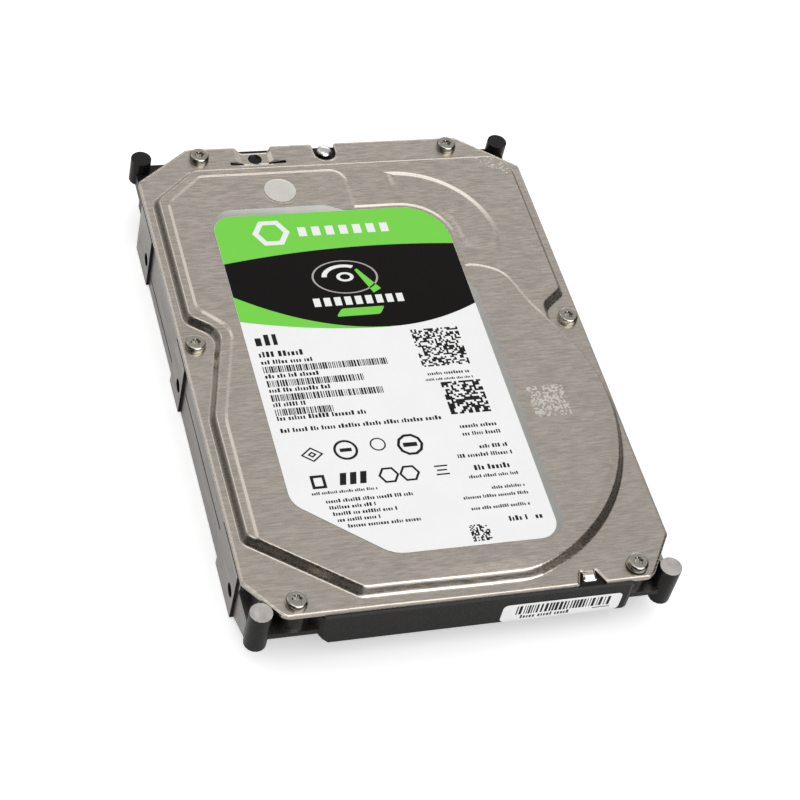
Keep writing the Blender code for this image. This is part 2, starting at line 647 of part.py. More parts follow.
def slider(name, axis, upper):
    low, high = 13.4, 13.72
    if not upper:
        low, high = 2 * PLATTER_MID - high, 2 * PLATTER_MID - low
    return box(name, (HEAD_REACH - 0.6, -0.5, low), (HEAD_REACH + 0.6, 0.5, high), "chip", axis)


def coil_and_frame(axis):
    middle = 180.0
    low, high = middle - COIL_HALF_ANGLE, middle + COIL_HALF_ANGLE
    plate("voice_coil", sector((0, 0), 13.2, 24.2, low, high), COIL_LOW, COIL_TOP, "copper", axis,
          holes=(list(reversed(sector((0, 0), 16.4, 21.4, middle - 15, middle + 15))),))
    low, high = middle - FRAME_HALF_ANGLE, middle + FRAME_HALF_ANGLE
    frame = plate("coil_overmould", sector((0, 0), 11.3, 25.4, low, high), COIL_LOW - 0.15,
                  COIL_TOP + 0.15, "plastic", axis)
    catch = plate("latch_catch", sector((0, 0), 24.5, 28.0, low, low + 4.0, 2.0), COIL_LOW - 0.15,
                  COIL_TOP + 0.15, parent=axis)
    seat = plate("coil_seat", sector((0, 0), 13.1, 24.3, middle - COIL_HALF_ANGLE - 0.4,
                                     middle + COIL_HALF_ANGLE + 0.4), 10.0, 15.0, parent=axis)
    join(frame, catch)
    cut(frame, seat)


def actuator():
    axis = axis_empty("actuator_axis", PIVOT, PARKED_ANGLE)
    e_block(axis)
    turned("pivot_bearing", [(BEARING_R, 16.1), (BEARING_R, 9.2), (3.3, 9.2), (3.3, 16.1)], "bright_steel",
           axis, steps=28)
    coil_and_frame(axis)
    suspension("upper_suspension", axis, True)
    suspension("lower_suspension", axis, False)
    slider("upper_head_slider", axis, True)
    slider("lower_head_slider", axis, False)
    box("preamp_chip", (-1.6, -9.35, 11.2), (1.6, -8.7, 13.8), "chip", axis)


def pivot_post():
    shaft = [(0.0, 11.0), (1.2, 11.0), (1.2, 16.3), (3.1, 16.3), (3.1, 9.0), (4.4, 9.0), (4.4, 7.6),
             (0.0, 7.6)]
    turned("pivot_shaft", shaft, "bright_steel", place=PIVOT, steps=24)
    machine_screw("pivot_screw", PIVOT, 3.4, 16.4, 17.5, 1.1, 12.0)


# ---------------------------------------------------------------- coil motor and latch
def coil_motor():
    """Two steel yokes and their magnets; the lower yoke's posts carry the upper one."""
    lower = plate("lower_yoke", sector(PIVOT, MOTOR_INNER_R, MOTOR_OUTER_R, MOTOR_FROM, MOTOR_TO),
                  7.6, 9.0, "bright_steel")
    upper = plate("upper_yoke", sector(PIVOT, MOTOR_INNER_R, MOTOR_OUTER_R, MOTOR_FROM, MOTOR_TO),
                  15.7, 17.1, "bright_steel")
    ends = [arc(PIVOT, 22.5, angle, angle, 1.0)[0] for angle in (MOTOR_FROM + 4.5, MOTOR_TO - 4.5)]
    join(lower, rods("yoke_posts", ends, 8.5, 15.6, 1.9, sides=16))
    cut(lower, rods("post_holes", ends[:1], 11.0, 18.0, 0.9, sides=12))
    cut(upper, rods("yoke_holes", ends[:1], 14.0, 18.0, 1.1, sides=12))
    machine_screw("yoke_screw", ends[0], 1.8, 17.15, 18.1, 0.8, 12.0)
    magnet = sector(PIVOT, MOTOR_INNER_R + 0.8, MOTOR_OUTER_R - 0.9, MOTOR_FROM + 10, MOTOR_TO - 10)
    plate("lower_magnet", magnet, 9.1, 10.9, "magnet")
    plate("upper_magnet", magnet, 13.9, 15.6, "magnet")
    for name, angle in (("outer_crash_stop", MOTOR_FROM + 4.5), ("inner_crash_stop", MOTOR_TO - 4.5)):
        place = arc(PIVOT, 16.0, angle, angle, 1.0)[0]
        rods(name, [place], 9.1, 15.6, 1.5, "rubber", sides=14)


def latch():
    """A lever that hooks the coil frame's catch when the arms are parked."""
    rods("latch_pin", [LATCH_PIVOT], 5.9, 14.0, 1.2, "bright_steel", sides=16)
    axis = axis_empty("latch_axis", LATCH_PIVOT)
    outline = rounded(((-1.8, -2.2, 1.5), (-1.6, -7.5, 1.0), (1.6, -7.5, 1.0), (2.2, 0.0, 1.5),
                       (2.3, 12.3, 0.6), (0.4, 12.3, 0.5), (0.4, 10.9, 0), (0.9, 10.6, 0),
                       (0.7, 3.0, 1.0), (-2.0, 2.0, 1.5)))
    lever = plate("latch_lever", outline, 10.8, 13.6, "pale_plastic", axis)
    join(lever, rods("latch_hub", [(0.0, 0.0)], 7.6, 13.6, 2.2, parent=axis, sides=20))
    return cut(lever, rods("latch_bore", [(0.0, 0.0)], 5.0, 18.0, 1.3, parent=axis, sides=16))


# ---------------------------------------------------------------- ramp, flex and filters
def ramp():
    """The heads' parking ramp: a strip under the lift tabs' path, slotted for the platter's edge."""
    mirror = 2 * PLATTER_MID
    strip = plate("ramp", sector(PIVOT, 53.8, 57.8, 192.0, 211.0, 3.0), mirror - 14.1, 14.1, "pale_plastic")
    post = rods("ramp_post", [RAMP_POST], FLOOR + TOUCH, 14.1, 3.4)
    join(strip, post)
    slot = rods("platter_slot", [SPINDLE], PLATTER_LOW - 0.35, PLATTER_TOP + 0.35, PLATTER_R + 0.5, sides=72)
    screw_way = rods("ramp_screw_way", [RAMP_POST], 5.0, 18.0, 1.1, sides=12)
    cut(strip, slot, screw_way)
    machine_screw("ramp_screw", RAMP_POST, 2.1, 14.2, 15.2, 0.8, 6.0)


def flex_route():
    """Centre line of the flex cable, from the bracket's face round to the actuator's side."""
    arm = Vector((math.cos(math.radians(PARKED_ANGLE)), math.sin(math.radians(PARKED_ANGLE))))
    start = Vector((BRACKET[0] + 12.5, BRACKET[1] - 1.0))
    end = Vector(PIVOT) + arm * FLEX_END[0] + Vector((-arm.y, arm.x)) * FLEX_END[1]
    pulls = (start, start + Vector((9.0, 0.0)), end + arm * 10.0 + Vector((0.0, 3.0)), end)
    points = []
    for step in range(FLEX_STEPS + 1):
        t = step / FLEX_STEPS
        weights = ((1 - t) ** 3, 3 * (1 - t) ** 2 * t, 3 * (1 - t) * t ** 2, t ** 3)
        point = sum((pull * weight for pull, weight in zip(pulls, weights)), Vector((0.0, 0.0)))
        points.append((point.x, point.y))
    return points


def flex_cable():
    """A flat cable on edge: a line given height and a small thickness."""
    route = flex_route()
    left = []
    right = []
    for index, here in enumerate(route):
        before = Vector(route[max(0, index - 1)])
        after = Vector(route[min(len(route) - 1, index + 1)])
        normal = Vector((before.y - after.y, after.x - before.x)).normalized() * 0.15
        left.append(tuple(Vector(here) + normal))
        right.append(tuple(Vector(here) - normal))
    return plate("flex_cable", right + list(reversed(left)), 10.5, 14.5, "cable")


def flex_and_filters():
    x, y = BRACKET
    bracket = box("flex_bracket", (x - 6.0, y - 3.4, FLOOR + TOUCH), (x + 12.0, y + 3.4, 9.6), "plastic")
    connector = box("bracket_connector", (x - 5.0, y - 2.0, 3.6), (x + 5.0, y + 2.0, 9.0))
    clip = box("cable_clip", (x + 10.8, y - 3.0, 9.0), (x + 12.2, y + 1.0, 14.6))
    join(bracket, connector, clip)
    cut(bracket, rods("bracket_screw_way", [(x + 9.0, y)], 5.0, 18.0, 1.1, sides=12))
    machine_screw("flex_bracket_screw", (x + 9.0, y), 1.7, 9.7, 10.6, 0.8, 6.0)
    flex_cable()
    pillow = box("recirculation_filter", (-46.2, 30.0, 7.8), (-42.8, 46.0, 15.6), "filter")
    soften(pillow, 0.9, 2)
    rods("breather_filter", [BREATHER_PORT], 16.2, ROOF_LOW - 0.05, 5.0, "filter", sides=28)


# ---------------------------------------------------------------- electronics underneath
def sata_connector():
    """Combined data and power plug: an open-fronted shell around two L-shaped tongues."""
    low_x, high_x = SATA_X - SATA_HALF_W, SATA_X + SATA_HALF_W
    low, high = BOARD_TOP + TOUCH, 7.3
    back_y, wall_y, front_y = 65.0, 67.4, HALF_L - 0.2
    connector = box("sata_connector", (low_x, back_y, low), (high_x, wall_y, high), "plastic")
    ears = [box("left_ear", (low_x, wall_y - 0.5, low), (low_x + 2.4, front_y, high)),
            box("right_ear", (high_x - 2.4, wall_y - 0.5, low), (high_x, front_y, high)),
            box("lower_lip", (low_x + 1.0, wall_y - 0.5, low), (high_x - 1.0, front_y, low + 0.8))]
    tongue_low, tongue_high = 4.6, 5.8
    for index, (start, width) in enumerate(((low_x + 4.6, 20.6), (low_x + 28.0, 10.4))):
        ears.append(box(f"tongue_{index}", (start, wall_y - 0.5, tongue_low),
                        (start + width, front_y - 0.8, tongue_high)))
        ears.append(box(f"tongue_leg_{index}", (start, wall_y - 0.5, 3.3),
                        (start + 1.2, front_y - 0.8, tongue_high - 0.3)))
    return join(connector, *ears)


def electronics():
    wide, low_y, high_y = BOARD_X, BOARD_Y[0], BOARD_Y[1]
    tongue_left, tongue_right = SATA_X - SATA_HALF_W, SATA_X + SATA_HALF_W
    outline = rounded((
        (-wide, low_y, 1.5), (-16.0, low_y, 0), (-13.0, low_y + 4.0, 0), (13.0, low_y + 4.0, 0),
        (16.0, low_y, 0), (wide, low_y, 1.5), (wide, high_y, 1.0), (tongue_right, high_y, 0),
        (tongue_right, 70.6, 0.6), (tongue_left, 70.6, 0.6), (tongue_left, high_y, 0), (-wide, high_y, 1.0)))
    holes = [list(reversed(circle(place, 1.2, 12))) for place in BOARD_SCREWS]
    plate("circuit_board", outline, BOARD_LOW, BOARD_TOP, "board", holes=holes)
    x, y = BRACKET
    gap = [(x - 6.0, y - 3.0), (x - 6.0, y + 3.0), (x + 6.0, y + 3.0), (x + 6.0, y - 3.0)]
    foam_x = BOARD_SCREWS[-1][0] - 4.0
    foam = rounded(((-foam_x, low_y + 5, 2.0), (foam_x, low_y + 5, 2.0), (foam_x, high_y - 1, 2.0),
                    (-foam_x, high_y - 1, 2.0)))
    plate("board_insulator", foam, 3.4, POCKET_ROOF - 0.05, "foam", holes=[gap])
    low = BOARD_TOP + 0.05
    box("controller_chip", (8.0, 24.0, low), (22.0, 38.0, 3.2), "chip")
    box("motor_driver_chip", (-12.0, 14.0, low), (-4.0, 22.0, 3.1), "chip")
    box("memory_chip", (28.0, 38.0, low), (38.0, 46.0, 3.0), "chip")
    sata_connector()
    for index, place in enumerate(BOARD_SCREWS):
        machine_screw(f"board_screw_{index + 1}", place, 2.2, BOARD_LOW - 0.05, 0.1, 0.9, 5.6)


def build():
    clear_scene()
    collection("hard_disk_drive")
    collection("cutters")
    base_casting()
    top_cover()
    cover_gasket()
    labels()
    cover_screws()
    spindle_fixed()
    spindle_moving()
    actuator()
    pivot_post()
    coil_motor()
    latch()
    ramp()
    flex_and_filters()
    electronics()


build()
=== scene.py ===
"""Looks for a slim 3.5-inch hard disk drive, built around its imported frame.

Lengths are in millimetres, turned into metres by MM where a mesh is made. The frame's origin is
the centre of the drive's footprint: +X across, +Y towards the SATA end, +Z up to the label.
"""

import math
import random
from functools import reduce

import bmesh
import bpy
import numpy as np
from mathutils import Matrix, Vector
from mathutils.geometry import delaunay_2d_cdt


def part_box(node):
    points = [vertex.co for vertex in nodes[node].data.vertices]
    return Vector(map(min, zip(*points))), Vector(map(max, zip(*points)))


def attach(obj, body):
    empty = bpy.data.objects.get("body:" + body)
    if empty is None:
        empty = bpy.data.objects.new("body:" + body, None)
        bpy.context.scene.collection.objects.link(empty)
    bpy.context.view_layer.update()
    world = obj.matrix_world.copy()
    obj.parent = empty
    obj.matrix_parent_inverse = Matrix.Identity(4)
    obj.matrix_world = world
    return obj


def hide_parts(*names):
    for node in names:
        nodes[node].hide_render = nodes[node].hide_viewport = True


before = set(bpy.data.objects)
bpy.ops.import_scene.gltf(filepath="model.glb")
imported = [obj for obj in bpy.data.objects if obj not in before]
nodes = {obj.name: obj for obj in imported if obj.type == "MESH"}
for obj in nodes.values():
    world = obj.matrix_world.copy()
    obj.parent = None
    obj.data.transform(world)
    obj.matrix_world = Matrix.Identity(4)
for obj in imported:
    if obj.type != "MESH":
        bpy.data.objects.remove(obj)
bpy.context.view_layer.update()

MM = 0.001


def span(node):
    """Lowest and highest corner of a CAD node, in millimetres."""
    low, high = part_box(node)
    return low / MM, high / MM


def middle(node):
    """Centre of a CAD node in plan, in millimetres."""
    low, high = span(node)
    return (low.x + high.x) / 2, (low.y + high.y) / 2


# ---- places, from the frame
COVER_LOW, COVER_HIGH = span("top_cover")
HALF_W = COVER_HIGH.x
SHEET = 0.8  # thickness of the cover's sheet
FLANGE = COVER_LOW.z + SHEET  # level of the cover's flange
ROOF = span("top_label")[0].z - 0.05  # level of the cover under the label
SHOULDER = ROOF - 0.4  # level of the cover's lower shelf
FRONT = span("base_casting")[0].y
SCREW_NODES = [f"cover_screw_{n}" for n in range(1, 7)]
BOARD_SCREW_NODES = [f"board_screw_{n}" for n in range(1, 5)]
SCREWS = [middle(node) for node in SCREW_NODES]
BOARD_SCREWS = [middle(node) for node in BOARD_SCREW_NODES]
PORT = middle("port_seal")
SPINDLE = middle("platter")
PIVOT = (13.0, 37.0)  # where the actuator turns
LOCATOR = (-0.3, 69.6)  # the casting's pin in the cover's rear notch
LEFT, RIGHT, REAR = -35.9, 23.9, 45.0  # edges of the printed label

# stamped features of the cover; a step is its width in plan and its fillet
EDGE_FRONT, EDGE_REAR = -72.7, 72.3
EDGE_HEM = (0.6, 0.28)
EDGE_DROP = 0.25
WALL_STEP = (2.0, 0.82)
PLATEAU_STEP = (1.25, 0.5)
PAD_STEP = (1.6, 0.6)
DISK_WALL = (0.5, -22.5)  # centre of the wall on the disk's side
DISK_WALL_R = 49.8
BUMP = (13.5, 34.5)  # centre, radii, height and step of the coil motor's bump
BUMP_OUTER, BUMP_INNER = 24.2, 12.4
BUMP_RISE = 0.62
BUMP_STEP = (2.4, 0.8)
TRAY = (-24.4, -14.1, 65.2)  # left, right and front edge of the sunken rear tray
TRAY_DEPTH = 0.68
TRAY_HOLE = (-19.1, 68.2)
TAB = (26.6, 29.9)  # sides of the front tab
SLOTS = ((-26.0, -22.4), (-15.8, -11.3))
SLOT_Y = (65.75, 66.75)
ETCH_SIDES = (28.6, 37.8)  # the etched patch
ETCH_LENGTH = (-26.2, -16.8)
ETCH_CELL = (0.46, 0.46, 50.0)


# ---- outlines
def arc(centre, radius, start, stop, step):
    """Points of a circle's arc, both ends included, angles in degrees."""
    count = max(2, math.ceil(abs(stop - start) / step) + 1)
    turns = np.radians(np.linspace(start, stop, count))
    return [(centre[0] + radius * math.cos(t), centre[1] + radius * math.sin(t)) for t in turns]


def circle(centre, radius, sides):
    return arc(centre, radius, 0.0, 360.0, 360.0 / sides)[:-1]


def rounded(corners):
    """A closed outline from (x, y, fillet radius) corners; a corner of radius 0 stays sharp."""
    points = []
    count = len(corners)
    for index, (x, y, radius) in enumerate(corners):
        here = Vector((x, y))
        if radius <= 0:
            points.append((x, y))
            continue
        before = (Vector(corners[index - 1][:2]) - here).normalized()
        after = (Vector(corners[(index + 1) % count][:2]) - here).normalized()
        half = before.angle(after) / 2
        reach = radius / math.tan(half)
        centre = here + (before + after).normalized() * (radius / math.sin(half))
        first = here + before * reach - centre
        last = here + after * reach - centre
        start = math.degrees(math.atan2(first.y, first.x))
        sweep = math.degrees(math.atan2(last.y, last.x)) - start
        sweep = (sweep + 180.0) % 360.0 - 180.0
        points += arc(centre, radius, start, start + sweep, 12.0)
    return points


def offset(points, distance):
    """The outline moved inwards; the points run anticlockwise."""
    moved = []
    count = len(points)
    for index in range(count):
        here = Vector(points[index])
        before = (here - Vector(points[index - 1])).normalized()
        after = (Vector(points[(index + 1) % count]) - here).normalized()
        normal = Vector((-before.y - after.y, before.x + after.x)).normalized()
        stretch = max(0.5, normal.dot(Vector((-after.y, after.x))))
        moved.append(tuple(here + normal * (distance / stretch)))
    return moved


def rectangle(low, high, radius=0.0):
    (x0, y0), (x1, y1) = low, high
    return rounded([(x, y, radius) for x, y in ((x0, y0), (x1, y0), (x1, y1), (x0, y1))])


def subdivided(points, step):
    """The closed outline with more points along its long sides."""
    dense = []
    for here, after in zip(points, points[1:] + points[:1]):
        count = max(1, math.ceil(math.dist(here, after) / step))
        for index in range(count):
            share = index / count
            dense.append((here[0] + (after[0] - here[0]) * share, here[1] + (after[1] - here[1]) * share))
    return dense


def flange_outline():
    """Edge of the cover's sheet, with its ears, slits and rear notches."""
    slits = [(25.2, EDGE_FRONT, 0), (26.5, -69.2, 0.15), (26.9, -69.2, 0.15), (26.6, -71.7, 0),
             (29.8, -71.7, 0), (30.0, -69.2, 0.15), (30.3, -69.2, 0.15), (32.0, EDGE_FRONT, 0)]
    return rounded([(-HALF_W, -62.5, 1.5), (-43.2, EDGE_FRONT, 3.4)] + slits + [
        (43.4, EDGE_FRONT, 3.4), (HALF_W, -61.5, 1.5), (HALF_W, 60.5, 1.5), (36.0, EDGE_REAR, 2.0),
        (2.7, EDGE_REAR, 0.6), (2.5, 66.2, 2.75), (-3.1, 66.2, 2.75), (-3.3, EDGE_REAR, 0.6),
        (-14.2, EDGE_REAR, 0.6), (-15.4, 70.7, 0.5), (-22.2, 70.7, 0.5), (-23.6, EDGE_REAR, 0.6),
        (-36.5, EDGE_REAR, 2.0), (-HALF_W, 61.5, 1.5)])


def disk_side(radius):
    """The part of the raised area's outline that follows the disk."""
    return [(x, y, 0) for x, y in arc(DISK_WALL, radius, -70.0, 26.0, 3.0)]


def foot_outline():
    """Foot of the cover's raised area."""
    return rounded([(-25.4, -70.2, 4.0), (13.8, -70.2, 12.0)] + disk_side(DISK_WALL_R) + [
        (42.9, 5.2, 3.0), (43.1, 9.0, 2.6), (49.0, 13.6, 3.2), (49.0, 64.2, 7.0),
        (-37.2, 64.2, 3.5), (-49.0, 53.8, 4.0), (-49.0, 13.2, 4.2), (-42.3, 8.1, 4.0),
        (-49.0, -17.0, 12.0), (-49.0, -52.3, 3.5)])


def plateau_outline():
    """Foot of the second, shallow step, round the label and the disk."""
    return rounded([(-25.0, -69.7, 4.0), (13.8, -69.7, 12.0)] + disk_side(DISK_WALL_R - 0.5) + [
        (38.8, 10.0, 12.0), (34.9, 21.9, 9.0), (28.0, 24.7, 9.0), (2.4, 24.7, 1.0), (2.4, 60.6, 4.5),
        (-35.8, 60.6, 2.5), (-45.9, 51.6, 3.0), (-45.9, 15.6, 5.0), (-38.6, 8.4, 5.5),
        (-45.9, -18.5, 14.0), (-45.9, -53.9, 3.5)])


def label_outline():
    return rounded(((-16.0, -61.0, 8.0), (RIGHT, -61.0, 5.0), (RIGHT, REAR, 11.0), (LEFT, REAR, 5.0),
                    (LEFT, -44.5, 6.0)))


def backing_outline():
    """The label's bare silver backing, which shows along its top and right edges."""
    return rounded(((-16.0, -61.0, 8.0), (25.7, -61.0, 6.0), (25.7, 14.0, 3.0), (RIGHT, 20.0, 2.0),
                    (RIGHT, REAR, 11.0), (-1.0, REAR, 4.0), (-6.0, 47.4, 4.0), (LEFT, 47.4, 6.0),
                    (LEFT, -44.5, 6.0)))


# ---- node trees
def fill(tree, node, values):
    """Sets or links a node's inputs; a name's underscores stand for spaces."""
    for name, value in values.items():
        socket = node.inputs[int(name[1:])] if name[1:].isdigit() else node.inputs[name.replace("_", " ")]
        if isinstance(value, bpy.types.NodeSocket):
            tree.links.new(value, socket)
        else:
            socket.default_value = value
    return node


def add(tree, kind, settings=None, **values):
    node = tree.nodes.new("ShaderNode" + kind)
    for name, value in (settings or {}).items():
        setattr(node, name, value)
    return fill(tree, node, values)


def calc(tree, operation, first, second=0.0):
    """The result of a Math node."""
    return add(tree, "Math", {"operation": operation}, _0=first, _1=second).outputs[0]


def spread(tree, value, low, high, to_low=0.0, to_high=1.0):
    """The value's range low to high mapped to another, and held at its ends."""
    return add(tree, "MapRange", Value=value, From_Min=low, From_Max=high, To_Min=to_low,
               To_Max=to_high).outputs[0]


def blend_colour(tree, share, first, second):
    return add(tree, "Mix", {"data_type": "RGBA"}, _0=share, _6=first, _7=second).outputs[2]


def blend_number(tree, share, first, second):
    return add(tree, "Mix", {"data_type": "FLOAT"}, _0=share, _2=first, _3=second).outputs[0]


def shade(colour, factor):
    return (*[min(1.0, c * factor) for c in colour[:3]], 1.0)


def object_place(tree):
    """The point on the piece, in millimetres, and its three parts."""
    place = add(tree, "TexCoord").outputs["Object"]
    scaled = add(tree, "VectorMath", {"operation": "SCALE"}, _0=place, Scale=1.0 / MM).outputs[0]
    return scaled, add(tree, "SeparateXYZ", Vector=scaled).outputs


def facing(tree, axis, sign=1.0):
    """1 where the surface faces along an axis."""
    normal = add(tree, "NewGeometry").outputs["Normal"]
    part = add(tree, "SeparateXYZ", Vector=normal).outputs[axis]
    return calc(tree, "GREATER_THAN", calc(tree, "MULTIPLY", part, sign), 0.85)


def within(tree, value, low, high):
    above = calc(tree, "GREATER_THAN", value, low)
    return calc(tree, "MULTIPLY", above, calc(tree, "LESS_THAN", value, high))


def every(tree, *shares):
    return reduce(lambda found, share: calc(tree, "MULTIPLY", found, share), shares)


def either(tree, *shares):
    return reduce(lambda found, share: calc(tree, "MAXIMUM", found, share), shares)


def grain(tree, place, scale, detail=5.0, roughness=0.55):
    """Noise; scale is in grains per millimetre, one number or one for each of x, y and z."""
    if isinstance(scale, float):
        scale = (scale,) * 3
    mapped = add(tree, "Mapping", Vector=place, Scale=scale).outputs[0]
    noise = add(tree, "TexNoise", Vector=mapped, Scale=1.0, Detail=detail, Roughness=roughness)
    return noise.outputs[0]


def surface(name, colour, metallic, roughness, scale, vary, rough_vary=0.08, depth=0.004, mottle=0.05,
            **fixed):
    """A material with a grain, slow mottling and a fine bump; depth is in millimetres."""
    material = bpy.data.materials.new(name)
    material.use_nodes = True
    tree = material.node_tree
    shader = tree.nodes["Principled BSDF"]
    place, _ = object_place(tree)
    fine = grain(tree, place, scale)
    slow = grain(tree, place, 0.11, 2.0)
    tone = spread(tree, slow, 0.3, 0.7)
    low = blend_colour(tree, tone, shade(colour, 1 - vary - mottle), shade(colour, 1 - vary + mottle))
    high = blend_colour(tree, tone, shade(colour, 1 + vary - mottle), shade(colour, 1 + vary + mottle))
    fill(tree, shader, {
        "Base_Color": blend_colour(tree, spread(tree, fine, 0.3, 0.7), low, high),
        "Roughness": spread(tree, fine, 0.3, 0.7, max(0.02, roughness - rough_vary), roughness + rough_vary),
        "Metallic": metallic,
        "Normal": add(tree, "Bump", Strength=0.6, Distance=depth * MM, Height=fine).outputs[0],
        **fixed})
    return material


def paint_over(material, share, colour, metallic, roughness):
    """Lays a second finish over the first where share is 1; share is made by the caller on the same tree."""
    tree = material.node_tree
    shader = tree.nodes["Principled BSDF"]
    was = {}
    for name in ("Base Color", "Metallic", "Roughness"):
        socket = shader.inputs[name]
        was[name] = socket.links[0].from_socket if socket.links else socket.default_value
    if not isinstance(colour, bpy.types.NodeSocket):
        colour = (*colour[:3], 1.0)
    fill(tree, shader, {
        "Base_Color": blend_colour(tree, share, was["Base Color"], colour),
        "Metallic": blend_number(tree, share, was["Metallic"], metallic),
        "Roughness": blend_number(tree, share, was["Roughness"], roughness)})


# ---- materials
CAST_BLACK = (0.0105, 0.0092, 0.0085)
BARE = (0.40, 0.375, 0.355)
COVER_STEEL = (0.50, 0.45, 0.398)
COPPER = (0.62, 0.24, 0.09)

# where the casting is machined bare: levels, or distances from the middle
SIDE_FACE = 49.95
SIDE_LENGTH = (-68.3, 57.5)
POST_TOP = 17.35
LEDGE_TOP = (10.8, 11.0)
LEDGE_REAR = -58.0
RIB_TOP = (15.8, 16.05)
RIB_SIDES = (46.5, 48.0)
RAIL_FOOT = 0.1
RIM_TOP = (15.9, 16.2)
RIM_LENGTH = (-66.0, 66.0)
PIN_TOP = (16.8, 17.1)
PIN_SIDES = (-2.5, 2.0)


def casting_material():
    """Black e-coat over the casting, with the machined faces left bare and streaked along Y; the post tops
    are bare metal painted paler than the other bare faces, a painted highlight.
    """
    made = surface("casting_coat", CAST_BLACK, 0.0, 0.30, 2.6, 0.18, 0.08, 0.012, Specular_IOR_Level=0.18)
    tree = made.node_tree
    place, (x, y, z) = object_place(tree)
    wide = calc(tree, "ABSOLUTE", x)
    at_front = calc(tree, "LESS_THAN", y, LEDGE_REAR)
    up = facing(tree, 2)
    sides = every(tree, either(tree, facing(tree, 0, -1.0), facing(tree, 0)),
                  calc(tree, "GREATER_THAN", wide, SIDE_FACE), within(tree, y, *SIDE_LENGTH))
    posts = every(tree, up, calc(tree, "GREATER_THAN", z, POST_TOP))
    ledges = every(tree, up, within(tree, z, *LEDGE_TOP), at_front)
    ribs = every(tree, up, within(tree, z, *RIB_TOP), at_front, within(tree, wide, *RIB_SIDES))
    pin = every(tree, up, within(tree, z, *PIN_TOP), within(tree, x, *PIN_SIDES))
    rails = every(tree, facing(tree, 2, -1.0), calc(tree, "LESS_THAN", z, RAIL_FOOT))
    rim = every(tree, up, within(tree, z, *RIM_TOP), within(tree, y, *RIM_LENGTH))
    bare = either(tree, sides, ledges, ribs, pin, rails, rim)
    streaks = spread(tree, grain(tree, place, (2.2, 0.06, 2.2), 6.0), 0.3, 0.7)
    metal = blend_colour(tree, streaks, shade(BARE, 0.72), shade(BARE, 1.1))
    paint_over(made, bare, metal, 1.0, spread(tree, streaks, 0.0, 1.0, 0.38, 0.26))
    # Post tops: real bare metal, painted 1.15 to 1.9 times paler than the bare sides as a painted highlight.
    cloudy = spread(tree, grain(tree, place, 0.35, 2.0), 0.3, 0.7)
    lit_post_metal = blend_colour(tree, cloudy, shade(BARE, 1.15), shade(BARE, 1.9))
    paint_over(made, posts, lit_post_metal, 1.0, spread(tree, cloudy, 0.0, 1.0, 0.34, 0.24))
    return made


def cover_material():
    """Stamped steel brushed along X, with an etched patch of random cells and a speckled corner."""
    made = surface("brushed_cover", COVER_STEEL, 1.0, 0.28, (0.32, 2.4, 2.4), 0.15, 0.07, 0.006, 0.02)
    tree = made.node_tree
    place, (x, y, z) = object_place(tree)
    cells = add(tree, "VectorMath", {"operation": "SNAP"}, _0=place, _1=ETCH_CELL).outputs[0]
    random_cell = add(tree, "TexWhiteNoise", {"noise_dimensions": "3D"}, Vector=cells).outputs[0]
    up = facing(tree, 2)
    patch = every(tree, within(tree, x, *ETCH_SIDES), within(tree, y, *ETCH_LENGTH),
                  calc(tree, "GREATER_THAN", random_cell, 0.55), up)
    corner = calc(tree, "ADD", x, calc(tree, "MULTIPLY", y, 1.35))
    speckle = every(tree, within(tree, corner, 120.5, 126.5), within(tree, x, 38.5, 46.5),
                    calc(tree, "GREATER_THAN", random_cell, 0.8), up)
    paint_over(made, either(tree, patch, speckle), (0.62, 0.59, 0.55), 0.75, 0.5)
    return made


def turned_material(name, colour, roughness, pitch, vary=0.05, depth=0.002, centre=SPINDLE):
    """Metal with fine rings, or wire wound, about a centre; pitch is the rings' spacing in millimetres."""
    made = surface(name, colour, 1.0, roughness, 0.6, vary, roughness * 0.3, depth, 0.03)
    tree = made.node_tree
    shader = tree.nodes["Principled BSDF"]
    _, (x, y, _) = object_place(tree)
    across = calc(tree, "SUBTRACT", x, centre[0])
    along = calc(tree, "SUBTRACT", y, centre[1])
    radius = calc(tree, "SQRT", calc(tree, "ADD", calc(tree, "MULTIPLY", across, across),
                                     calc(tree, "MULTIPLY", along, along)))
    rings = calc(tree, "SINE", calc(tree, "MULTIPLY", radius, 2 * math.pi / pitch))
    bump = add(tree, "Bump", Strength=0.5, Distance=depth * MM, Height=rings).outputs[0]
    fill(tree, shader, {"Normal": bump})
    return made


def ink(name, colour, roughness=0.35):
    """Printed paper with a slight tooth."""
    return surface(name, colour, 0.0, roughness, 3.0, 0.02, 0.05, 0.003, 0.012, Specular_IOR_Level=0.08)


def board_material():
    """Solder mask with the traces under it showing as raised, paler lines."""
    made = surface("solder_mask", (0.008, 0.045, 0.075), 0.0, 0.32, 1.5, 0.1, 0.06, 0.004,
                   Coat_Weight=0.4, Coat_Roughness=0.15)
    tree = made.node_tree
    shader = tree.nodes["Principled BSDF"]
    place, _ = object_place(tree)
    settings = {"offset": 0.37, "squash": 0.8, "squash_frequency": 3}
    lanes = add(tree, "TexBrick", settings, Vector=place, Scale=0.55, Mortar_Size=0.07, Mortar_Smooth=0.1,
                Brick_Width=6.5, Row_Height=0.55).outputs["Fac"]
    turned = add(tree, "Mapping", Vector=place, Rotation=(0.0, 0.0, math.radians(90))).outputs[0]
    columns = add(tree, "TexBrick", {"offset": 0.61}, Vector=turned, Scale=0.5, Mortar_Size=0.06,
                  Mortar_Smooth=0.1, Brick_Width=8.0, Row_Height=0.6).outputs["Fac"]
    zones = calc(tree, "GREATER_THAN", grain(tree, place, (0.07, 0.07, 0.07), 1.0), 0.5)
    traces = blend_number(tree, zones, lanes, columns)
    mask = shader.inputs["Base Color"].links[0].from_socket
    colour = blend_colour(tree, traces, mask, (0.016, 0.085, 0.125, 1.0))
    bump = add(tree, "Bump", Strength=0.7, Distance=0.03 * MM, Height=traces).outputs[0]
    fill(tree, shader, {"Base_Color": colour, "Normal": bump})
    return made


